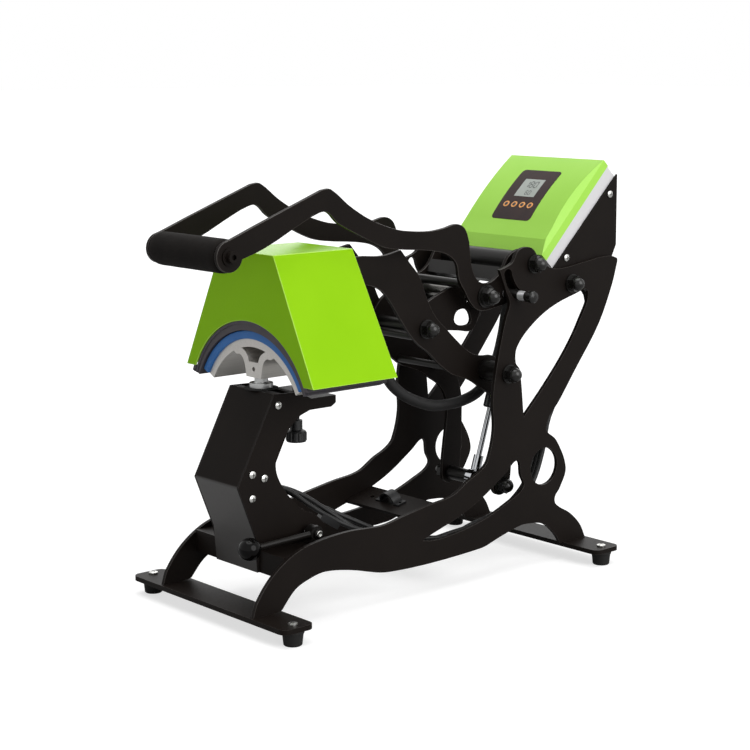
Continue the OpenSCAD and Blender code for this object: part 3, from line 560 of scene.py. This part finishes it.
softened("front_foot_bar", "stand", 0.7, powder, edge_painted_highlight)
softened("rear_foot_bar", "stand", 0.7, powder, edge_painted_highlight)
softened("pedestal_sides", "stand", 0.35, powder, edge_painted_highlight)
softened("pedestal_front", "stand", 0.6, sheen_painted_coat, edge_painted_highlight)
softened("controller_bracket", "stand", 0.3, powder, edge_painted_highlight)
softened("housing_shell", "platen_crank", 0.9, lime_coat, lime_edge_highlight_paint, 3)
softened("controller_base", "stand", 0.8, white_abs, white_abs)
softened("lower_platen", "stand", 0.5, alu, alu)

# %% [markdown]
# ## Scroll-cut outlines
# The outlines of the plates, the arms and the links are cut in flowing curves. In the CAD they
# are drawn with straight runs, so the blunt corners between the runs are turned into arcs before
# the edges are rounded. A corner of the outline is an edge that runs straight through the plate,
# along x, between two faces that are long enough to take an arc. The top rear corner of the frame
# plates is a real corner, and gets a small radius.

# %% Plates, arms and links with flowing outlines
BLUNT = (0.05, 0.9)  # the turn of a blunt corner, in radians
SHORTEST = 5  # the shortest run beside a corner that takes an arc, in mm
TOP_CORNER = at(0, 577, 386)
TOP_RADIUS = 5
ARC_SHARE = 42  # the share of the shorter run that an arc takes, in per cent


def eased(piece):
    """In edit mode, turns the blunt corners of a plate's outline, and its top corner, into arcs."""
    def blunt(edge):
        a, b = (v.co for v in edge.verts)
        if len(edge.link_faces) != 2 or abs((a - b).normalized().x) < 0.99:
            return False
        runs = [max(math.hypot(*(e.verts[0].co - e.verts[1].co).yz) for e in face.edges)
                for face in edge.link_faces]
        return BLUNT[0] < edge.calc_face_angle(0) < BLUNT[1] and min(runs) > SHORTEST * MM

    def top(edge):
        return all((v.co - TOP_CORNER).yz.length < 2 * MM for v in edge.verts)

    print(pick(piece, "EDGE", blunt), "corners eased")
    bpy.ops.mesh.bevel(offset_type="PERCENT", offset_pct=ARC_SHARE, segments=4,
                       affect="EDGES", clamp_overlap=False)
    if pick(piece, "EDGE", top):
        bpy.ops.mesh.bevel(offset=TOP_RADIUS * MM, segments=6, affect="EDGES",
                           clamp_overlap=False)


for side in ("left", "right"):
    softened("frame_plate_" + side, "stand", 0.5, powder, edge_painted_highlight, shape=eased)
    softened("lever_arm_" + side, "lever", 0.6, powder, edge_painted_highlight, shape=eased)
    softened("crank_arm_" + side, "platen_crank", 0.5, powder, edge_painted_highlight, shape=eased)
softened("toggle_links", "links", 0.5, powder, edge_painted_highlight, shape=eased)

# %% [markdown]
# ## Cover of the control box
# The cover's crowned face runs fuller to its sides than the solid does, and its lower end is a
# steeper band. A cut is made where the band begins. The points along the two side crests are then
# moved out to a steeper side face, and those from the band to the flat of the crown are lifted.

# %% Fuller cover
HALF_WIDTH = 84
SOLID_LEAN = 1.375  # the solid's crests come in by this much for each mm that they rise
COVER_LEAN = 0.5
BAND_TOP = -60
BAND_HEIGHT = 6.4
LOW_END = -80.2
CROWN_LOW = -38


def fuller(piece):
    """In edit mode, moves the side crests of the crowned cover out, and lifts its lower end."""
    bpy.ops.mesh.select_all(action="SELECT")
    bpy.ops.mesh.bisect(plane_co=FACE @ Vector((0, BAND_TOP * MM, 0)),
                        plane_no=FACE.to_3x3() @ Vector((0, 1, 0)))
    mesh = bmesh.from_edit_mesh(piece.data)
    flat = FACE.inverted()
    climb = (crown(CROWN_LOW) - BAND_HEIGHT) / (CROWN_LOW - BAND_TOP)
    for point in mesh.verts:
        x, y, z = (flat @ point.co) / MM
        if z > 0.05 and abs(abs(x) - (HALF_WIDTH - SOLID_LEAN * z)) < 0.5:
            if y < BAND_TOP - 0.1:
                z = BAND_HEIGHT * (y - LOW_END) / (BAND_TOP - LOW_END)
            elif y < CROWN_LOW:
                z = BAND_HEIGHT + climb * (y - BAND_TOP)
            x = math.copysign(HALF_WIDTH - COVER_LEAN * z, x)
            point.co = FACE @ Vector((x * MM, y * MM, max(z, 0) * MM))
    bmesh.update_edit_mesh(piece.data)


softened("controller_cover", "stand", 1.0, lime_abs, lime_edge_highlight_paint, 3, 12, fuller)

# %% [markdown]
# ## The silicone pad
# The pad is a strip of silicone rubber laid over the arch, 10 mm thick, with soft corners. It
# could be cut from a ring, but a strip swept round the arch keeps even faces, so a rectangle
# stands at one end of the arch and is spun to the other. Rubber bulges a little where it is free,
# so the middle of its thickness stands out at the ends by nearly half a millimetre.

# %% Pad swept round the arch
clear()
PAD_IN = 100.22
PAD_OUT = 110.1
PAD_LONG = 109
PAD_BULGE = 1.008
PAD_LOW = math.radians(29.5)
centre = at(0, 104.5, 222)
middle = (PAD_IN + PAD_OUT) / 2
start = centre + Vector((math.cos(PAD_LOW), 0, math.sin(PAD_LOW))) * middle * MM
bpy.ops.mesh.primitive_plane_add(size=1, location=start, rotation=(0, -PAD_LOW, 0))
pad = bpy.context.object
pad.scale = ((PAD_OUT - PAD_IN) * MM, PAD_LONG * MM, 1)
bpy.ops.object.transform_apply(location=True, rotation=True, scale=True)
bpy.ops.object.mode_set(mode="EDIT")
bpy.ops.mesh.select_all(action="SELECT")
bpy.ops.mesh.subdivide(number_cuts=1)


def end_middle(vert):
    """True at the middle of the strip's thickness, at its front and rear end."""
    off = (vert.co - centre).xz.length - middle * MM
    return abs(vert.co.y - centre.y) > 50 * MM and abs(off) < 1 * MM


pick(pad, "VERT", end_middle)
bpy.ops.transform.resize(value=(1, PAD_BULGE, 1))
bpy.ops.mesh.select_all(action="SELECT")
bpy.ops.mesh.spin(steps=60, angle=math.pi - 2 * PAD_LOW, center=(0, 0, centre.z), axis=(0, 1, 0))
close_up()
soften(pad, 1.3, 3, 50)
settle(pad, "silicone_pad", silicone, "stand", "platen_pad", angle=50)
print("pad box", [round(v / MM, 1) for v in pad.dimensions])

# %% [markdown]
# ## The foam grip
# A foam sleeve is pushed over the steel core and is slightly tight, so it swells a little between
# its ends and rolls over at the rims. Half its section is drawn as points, each with its place
# along the grip and its radius, from the core's skin over the rounded rim to the middle. The
# other half mirrors it, and the whole is spun round the core.

# %% Foam sleeve spun round its core
clear()
GRIP = at(0, -29, 429)
HALF = 63.6
section = [(HALF, 10.1), (HALF, 13.6), (HALF - 0.6, 16.0), (HALF - 2.2, 18.0), (HALF - 5.0, 19.1),
           (HALF - 10, 19.35), (HALF - 22, 19.25), (HALF - 40, 19.38), (0, 19.3)]
section = section + [(-x, r) for x, r in reversed(section[:-1])]
bpy.ops.mesh.primitive_circle_add(vertices=len(section), radius=0.01, location=(0, 0, 0))
grip = bpy.context.object
for point, (x, r) in zip(grip.data.vertices, section):
    point.co = (x * MM, GRIP.y, GRIP.z + r * MM)
bpy.ops.object.mode_set(mode="EDIT")
bpy.ops.mesh.select_all(action="SELECT")
bpy.ops.mesh.spin(steps=72, angle=math.tau, center=(0, GRIP.y, GRIP.z), axis=(1, 0, 0))
close_up()
settle(grip, "foam_sleeve", foam, "lever", "foam_grip", angle=60)

# %% [markdown]
# ## Leads along their routes
# The leads are flexible, and their CAD tubes are only coarse stand-ins. Each lead here is a smooth
# curve with a round section, made a mesh. A tube could be swept by hand, but a curve keeps its
# section round and its ends closed by itself. The curve passes through each point of the route
# and leans towards the next one, as a stiff lead does.

# %% Helpers for leads


def bend(route, steps):
    """Smooth points through a route given in the drawing's millimetres."""
    route = [Vector(p) for p in route]
    last = len(route) - 1
    lean = [(route[min(i + 1, last)] - route[max(i - 1, 0)]).normalized()
            for i in range(last + 1)]
    out = []
    for i in range(last):
        a, b = route[i], route[i + 1]
        span = (b - a).length
        for j in range(steps):
            s = j / steps
            leave = 2 * s ** 3 - 3 * s ** 2 + 1
            push = (s ** 3 - 2 * s ** 2 + s) * span
            arrive = 3 * s ** 2 - 2 * s ** 3
            pull = (s ** 3 - s ** 2) * span
            out.append(leave * a + push * lean[i] + arrive * b + pull * lean[i + 1])
    return out + [route[last]]


def lead(name, points, radius):
    """Round lead through points, in the drawing's millimetres, as one mesh with closed ends."""
    clear()
    line = bpy.data.curves.new(name, "CURVE")
    line.dimensions = "3D"
    line.bevel_depth = radius * MM
    line.bevel_resolution = 4
    line.use_fill_caps = True
    spline = line.splines.new("POLY")
    spline.points.add(len(points) - 1)
    for knot, p in zip(spline.points, points):
        knot.co = (*at(*p), 1)
    piece = bpy.data.objects.new(name, line)
    bpy.context.collection.objects.link(piece)
    piece.select_set(True)
    bpy.context.view_layer.objects.active = piece
    bpy.ops.object.convert(target="MESH")
    piece = bpy.context.object
    bpy.ops.object.mode_set(mode="EDIT")
    close_up()
    return piece


# %% [markdown]
# ## Three leads through the base
# Three leads run from the pedestal through the base and up behind the right plate into the
# control box. Leads that were laid together keep their distance, so one route is drawn and moved
# aside for each. Between the pedestal and the cross plate they lie loose, and there each rises
# and falls in its own way. Their route at the back is guessed, as the photograph hides it. The
# middle lead stands for the CAD's bundle of three.

# %% Leads side by side
LEAD_RADIUS = 3
LEAD_GAP = 6.6
LOOSE = range(2, 9)  # the points of the route between the pedestal and the cross plate
LOOSE_SWAY = 4.5
HELD_SWAY = 0.8
SWAY_STEP = 0.9  # how far the sway goes on from point to point and from lead to lead, in radians
SWAY_SHIFT = 2.1
base_route = [Vector(p) for p in (
    (0, 64, 146), (0, 94, 139), (4, 122, 122), (12, 150, 104), (26, 176, 87), (44, 200, 75),
    (62, 230, 66), (70, 264, 60), (73, 300, 60), (74, 336, 66), (75, 372, 72), (75, 402, 82),
    (75, 432, 106), (75, 450, 144), (75, 462, 190), (75, 500, 246), (74, 537, 298),
    (64, 553, 338), (28, 544, 361), (-14, 520, 366), (-31, 500, 370), (-32, 487, 377.5),
    (-32, 473.8, 389.5))]
last = len(base_route) - 1
along = [base_route[min(k + 1, last)] - base_route[max(k - 1, 0)] for k in range(last + 1)]
aside = [a.normalized().cross(Vector((0, 0, 1))).normalized() for a in along]
for lane in (-1, 0, 1):
    route = [(LEAD_GAP * lane, 12, 150), (LEAD_GAP * lane, 38, 149.5)]
    for k, (point, side_way) in enumerate(zip(base_route, aside)):
        sway = LOOSE_SWAY if k in LOOSE else HELD_SWAY
        rise = sway * math.sin(SWAY_STEP * k + SWAY_SHIFT * lane)
        route.append(point + LEAD_GAP * lane * side_way + Vector((0, 0, rise)))
    route = bend(route, 4)
    piece = lead("base_lead", route, LEAD_RADIUS)
    stands_for = ("base_cables",) if lane == 0 else ()
    settle(piece, "base_lead_" + str(lane + 2), jacket, "stand", *stands_for, angle=80)
print("three leads of", round(sum((b - a).length for a, b in zip(route, route[1:]))), "mm")

# %% [markdown]
# ## Coupler on the leads
# Behind the pedestal a small black coupler joins two lengths of lead. It is a moulded box with a
# sunk lid, so it starts as a cube, drawn out to a block and turned along the leads, and its top
# is inset and pushed down a little. The rounded edges come last.

# %% Coupler
clear()
bpy.ops.mesh.primitive_cube_add(size=1, location=at(15, 152, 93.5), rotation=(-0.56, 0, -0.4))
coupler = bpy.context.object
coupler.scale = (16 * MM, 26 * MM, 10 * MM)
bpy.ops.object.transform_apply(location=False, rotation=False, scale=True)
bpy.ops.object.mode_set(mode="EDIT")
pick(coupler, "FACE", lambda f: f.normal.z > 0.9)
bpy.ops.mesh.inset(thickness=2 * MM)
bpy.ops.mesh.extrude_region_shrink_fatten(TRANSFORM_OT_shrink_fatten={"value": -0.8 * MM})
bpy.ops.object.mode_set(mode="OBJECT")
soften(coupler, 1.0, 3, 40)
settle(coupler, "lead_coupler", black_abs, "stand")

# %% [markdown]
# ## The heater's conduit
# The heater is fed through a braided sleeve that leaves the housing at the back, dips under the
# crank and rises into the control box. Its route lies in one upright plane, so it is given as
# places back and up. In the press it moves with the platen at one end and is held at the other,
# so it bends when the press opens; here it is made in its rest shape and hung on no body.

# %% Conduit from the housing to the control box
CONDUIT_X = 20
CONDUIT_RADIUS = 7.1
conduit_side = [(150, 366), (172, 366), (196, 352), (218, 304), (242.5, 255.5), (266, 234),
                (304, 217), (328.5, 212.5), (368, 214), (399, 225), (424, 254), (438, 292),
                (446, 330), (456, 350), (468, 364), (476.2, 380), (476.2, 398)]
conduit_route = bend([(CONDUIT_X, y, z) for y, z in conduit_side], 8)
sleeve = lead("heater_sleeve", conduit_route, CONDUIT_RADIUS)
settle(sleeve, "heater_sleeve", braid, None, "conduit", angle=80)
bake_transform(sleeve)

# %% [markdown]
# ## Seat under the platen's flange
# The platen rests on a turned steel flange with a black rubber seat below it. The CAD node is one
# turned shape, so here it is made as the two pieces that the eye sees. The seat is a disc punched
# from rubber sheet, which makes it a low cylinder, and its rim is rounded as rubber wears.

# %% Rubber seat
clear()
bpy.ops.mesh.primitive_cylinder_add(vertices=64, radius=20 * MM, depth=1.3 * MM,
                                    location=at(0, 64, 263.75))
seat = bpy.context.object
soften(seat, 0.35, 2, 40)
settle(seat, "flange_seat", rubber, "stand")

# %% [markdown]
# ## Flange and neck
# The flange is turned with its neck from one bar, so both start as one cylinder. Its top face is
# inset and pulled up twice, first for the low shoulder and then for the neck, which goes up into
# the platen.

# %% Flange and neck
clear()
bpy.ops.mesh.primitive_cylinder_add(vertices=64, radius=14 * MM, depth=6 * MM,
                                    location=at(0, 64, 267.4))
flange = bpy.context.object
bpy.ops.object.transform_apply(location=True, rotation=True, scale=True)
bpy.ops.object.mode_set(mode="EDIT")
pick(flange, "FACE", lambda f: f.normal.z > 0.9)
bpy.ops.mesh.inset(thickness=5.2 * MM)
bpy.ops.mesh.extrude_region_move(TRANSFORM_OT_translate={"value": (0, 0, 0.8 * MM)})
bpy.ops.mesh.inset(thickness=0.8 * MM)
bpy.ops.mesh.extrude_region_move(TRANSFORM_OT_translate={"value": (0, 0, 5.7 * MM)})
bpy.ops.object.mode_set(mode="OBJECT")
soften(flange, 0.5, 3, 40)
settle(flange, "platen_flange", post_steel, "stand", "platen_post")

# %% [markdown]
# ## Sleeves and collars on the stop studs
# Each stop stud stands through its slot in a black sleeve. Its bright shank shows outside the
# plate, and a black collar sits between the shank and the head. Sleeve and collar are the same
# piece at two lengths: a cylinder whose ends are inset and sunk a little, with rounded rims.

# %% Stud sleeves and collars
for name, x, length, radius in (("sleeve", 82.0, 23.6, 6.5), ("collar", 108.7, 5.2, 7.2)):
    for side, sign in (("right", 1), ("left", -1)):
        clear()
        bpy.ops.mesh.primitive_cylinder_add(vertices=48, radius=radius * MM, depth=length * MM,
                                            location=at(sign * x, 395, 353),
                                            rotation=(0, math.pi / 2, 0))
        ring = bpy.context.object
        bpy.ops.object.transform_apply(location=True, rotation=True, scale=True)
        bpy.ops.object.mode_set(mode="EDIT")
        pick(ring, "FACE", lambda f: abs(f.normal.x) > 0.9)
        bpy.ops.mesh.inset(thickness=1.2 * MM)
        bpy.ops.mesh.extrude_region_shrink_fatten(
            TRANSFORM_OT_shrink_fatten={"value": -0.5 * MM})
        bpy.ops.object.mode_set(mode="OBJECT")
        soften(ring, 0.4, 3, 40)
        settle(ring, "stud_" + name + "_" + side, tube_coat, "lever")

# %% [markdown]
# ## Screw in the tension lever's pivot
# The lever with the ball turns on a zinc screw, whose head shows on the outer side of its boss. The
# head is a low cylinder with a domed rim, and its socket is an inset face pushed in.

# %% Pivot screw
clear()
bpy.ops.mesh.primitive_cylinder_add(vertices=48, radius=4.2 * MM, depth=3.4 * MM,
                                    location=at(67.3, 95, 96), rotation=(0, math.pi / 2, 0))
screw = bpy.context.object
bpy.ops.object.transform_apply(location=True, rotation=True, scale=True)
bpy.ops.object.mode_set(mode="EDIT")
pick(screw, "FACE", lambda f: f.normal.x > 0.9)
bpy.ops.mesh.inset(thickness=2.2 * MM)
bpy.ops.mesh.extrude_region_shrink_fatten(TRANSFORM_OT_shrink_fatten={"value": -1.6 * MM})
bpy.ops.object.mode_set(mode="OBJECT")
soften(screw, 0.6, 3, 40)
settle(screw, "tension_pivot_screw", zinc, "stand")

# %% [markdown]
# ## Keys with orange rings
# Each key is a rubber dome in a printed ring. One is modelled lying flat at the origin: a short
# cylinder whose top is inset and pushed down for the groove, and inset again and raised for the
# dome. The four keys are copies of it, each with its own mesh, set in a row on the sloped face.

# %% One key and its copies
KEY_PLACES = (-21.8, -7.5, 6.8, 21.1)
clear()
bpy.ops.mesh.primitive_cylinder_add(vertices=48, radius=4.8 * MM, depth=5.6 * MM,
                                    location=(0, 0, 7.4 * MM))
key = bpy.context.object
bpy.ops.object.transform_apply(location=True, rotation=True, scale=True)
key.data.materials.append(orange)
key.data.materials.append(dome_black)
bpy.ops.object.mode_set(mode="EDIT")
pick(key, "FACE", lambda f: f.normal.z > 0.9)
bpy.ops.mesh.inset(thickness=1.7 * MM)
bpy.ops.mesh.extrude_region_move(TRANSFORM_OT_translate={"value": (0, 0, -0.35 * MM)})
bpy.ops.mesh.inset(thickness=0.3 * MM)
key.active_material_index = 1
bpy.ops.object.material_slot_assign()
bpy.ops.mesh.extrude_region_move(TRANSFORM_OT_translate={"value": (0, 0, 0.55 * MM)})
bpy.ops.mesh.inset(thickness=0.6 * MM)
bpy.ops.transform.translate(value=(0, 0, 0.25 * MM))
bpy.ops.object.mode_set(mode="OBJECT")
soften(key, 0.2, 2, 40)
for number, x in enumerate(KEY_PLACES, 1):
    clear()
    copy = bpy.data.objects.new("key", key.data.copy())
    bpy.context.collection.objects.link(copy)
    copy.matrix_world = FACE @ Matrix.Translation((x * MM, KEY_ROW * MM, 0))
    settle(copy, "ringed_key_" + str(number), None, "key_" + str(number),
           "button_" + str(number))
bpy.data.objects.remove(key)

# %% [markdown]
# ## Figures on the display
# The display shows the heat in large seven-bar figures and the time below in small ones. Each bar
# is a plane whose corners are cut off, laid at its spot in the figure, and all are joined to one
# piece. They lie a tenth of a millimetre over the glass and lean with the crowned face.

# %% Seven-bar figures
BARS = {"0": "abcdef", "1": "bc", "6": "acdefg", "8": "abcdefg"}
SPOTS = {"a": (0, 2, 0), "b": (1, 1, 90), "c": (1, -1, 90), "d": (0, -2, 0), "e": (-1, -1, 90),
         "f": (-1, 1, 90), "g": (0, 0, 0)}
PITCH = 0.72  # these five are shares of a figure's height
BAR_LONG = 0.4
BAR_WIDE = 0.11
BAR_TIP = 0.04
BAR_REACH = 0.235
OVER_CROWN = 0.22  # height of the figures over the crowned face, in mm


def figures(text, x, y, tall):
    """Bars of the figures in text, centred at x, y on the face, tall mm high."""
    made = []
    lean = Matrix.Rotation(-(y / CROWN_R), 4, "X")
    for k, letter in enumerate(text):
        left = x + (k - (len(text) - 1) / 2) * tall * PITCH
        for bar in BARS[letter]:
            across, rise, spin = SPOTS[bar]
            clear()
            bpy.ops.mesh.primitive_plane_add(size=1, location=(0, 0, 0))
            stroke = bpy.context.object
            stroke.scale = (tall * BAR_LONG * MM, tall * BAR_WIDE * MM, 1)
            bpy.ops.object.transform_apply(location=False, rotation=False, scale=True)
            bpy.ops.object.mode_set(mode="EDIT")
            bpy.ops.mesh.select_all(action="SELECT")
            bpy.ops.mesh.bevel(offset=tall * BAR_TIP * MM, affect="VERTICES")
            bpy.ops.object.mode_set(mode="OBJECT")
            bar_y = y + rise * tall * BAR_REACH
            spot = Vector((left + across * tall * BAR_REACH, bar_y, crown(bar_y) + OVER_CROWN))
            turned_bar = Matrix.Rotation(math.radians(spin), 4, "Z")
            stroke.matrix_world = (FACE @ Matrix.Translation(spot * MM)
                                   @ lean @ turned_bar)
            made.append(stroke)
    return made


strokes = figures("180", 0, 24, 11) + figures("60", 3, 9.6, 7.6)
clear()
for stroke in strokes:
    stroke.select_set(True)
bpy.context.view_layer.objects.active = strokes[0]
bpy.ops.object.join()
settle(bpy.context.object, "display_figures", ink, "stand")

# %% [markdown]
# ## Sky
# A white room stands round the press. It is white to the camera and in metal, while the light that
# it sheds on paint is weaker, so that the shaded sides keep their depth. The light path tells the
# two apart: rays from the camera and rays off a shiny face see the full white.

# %% White room
SKY_LIGHT = 0.25
world = bpy.data.worlds.new("studio")
bpy.context.scene.world = world
world.use_nodes = True
tree = world.node_tree
tree.nodes.clear()
way = add(tree, "ShaderNodeLightPath")
seen = add(tree, "ShaderNodeMath", None, {"Value": way.outputs["Is Camera Ray"],
           "Value_001": way.outputs["Is Glossy Ray"]}, use_clamp=True)
seen = add(tree, "ShaderNodeMath", None, {"Value": seen.outputs["Value"],
           "Value_001": way.outputs["Is Transmission Ray"]}, use_clamp=True)
level = add(tree, "ShaderNodeMapRange", {"To Min": SKY_LIGHT, "To Max": 1.0},
            {"Value": seen.outputs["Value"]})
sky = add(tree, "ShaderNodeBackground", {"Color": (1, 1, 1, 1)},
          {"Strength": level.outputs["Result"]})
add(tree, "ShaderNodeOutputWorld", None, {"Surface": sky.outputs["Background"]})
print("sky", world.name)

# %% [markdown]
# ## Lamps
# One soft lamp at the right gives the housing its bright side, a weaker one above fills the tops,
# and a faint one behind lifts the back. They light like wide diffusers far away, evenly over the
# whole press, so each is a sun with a wide angle, turned to shine from the place it is given.

# %% Three soft lamps


def lamp(name, place, spread, strength):
    """Even light from the side of place, as soft as its spread in degrees."""
    light = bpy.data.lights.new(name, "SUN")
    light.angle = math.radians(spread)
    light.energy = strength
    holder = bpy.data.objects.new(name, light)
    holder.location = place
    holder.rotation_euler = Vector(place).to_track_quat("Z", "Y").to_euler()
    bpy.context.collection.objects.link(holder)
    return holder


lamp("right_lamp", (2.4, 0.3, 1.1), 50, 2.0)
lamp("top_lamp", (-0.1, 0.0, 2.6), 50, 1.7)
lamp("back_lamp", (-1.4, 1.8, 0.9), 60, 0.5)
print("lamps", [light.name for light in bpy.data.lights])

# %% [markdown]
# ## Floor
# The press stands on white paper. The paper throws back the light of a grey one, and glows for the
# camera only, which lifts it to white and leaves the shadow under the feet.

# %% White paper floor
PAPER_GREY = 0.5
PAPER_GLOW = 0.66
clear()
bpy.ops.mesh.primitive_plane_add(size=60, location=(0, 0, 0))
floor = bpy.context.object
floor.name = "floor"
paper, tree = blank("white_paper_floor")
way = add(tree, "ShaderNodeLightPath")
shaded = add(tree, "ShaderNodeBsdfDiffuse", {"Color": (PAPER_GREY, PAPER_GREY, PAPER_GREY, 1)})
lift = add(tree, "ShaderNodeMath", {"Value_001": PAPER_GLOW},
           {"Value": way.outputs["Is Camera Ray"]}, operation="MULTIPLY")
glow = add(tree, "ShaderNodeEmission", {"Color": (1, 1, 1, 1)},
           {"Strength": lift.outputs["Value"]})
sum_up = add(tree, "ShaderNodeAddShader", None,
             {"Shader": shaded.outputs["BSDF"], "Shader_001": glow.outputs["Emission"]})
add(tree, "ShaderNodeOutputMaterial", None, {"Surface": sum_up.outputs["Shader"]})
floor.data.materials.append(paper)
print("floor", paper.name)
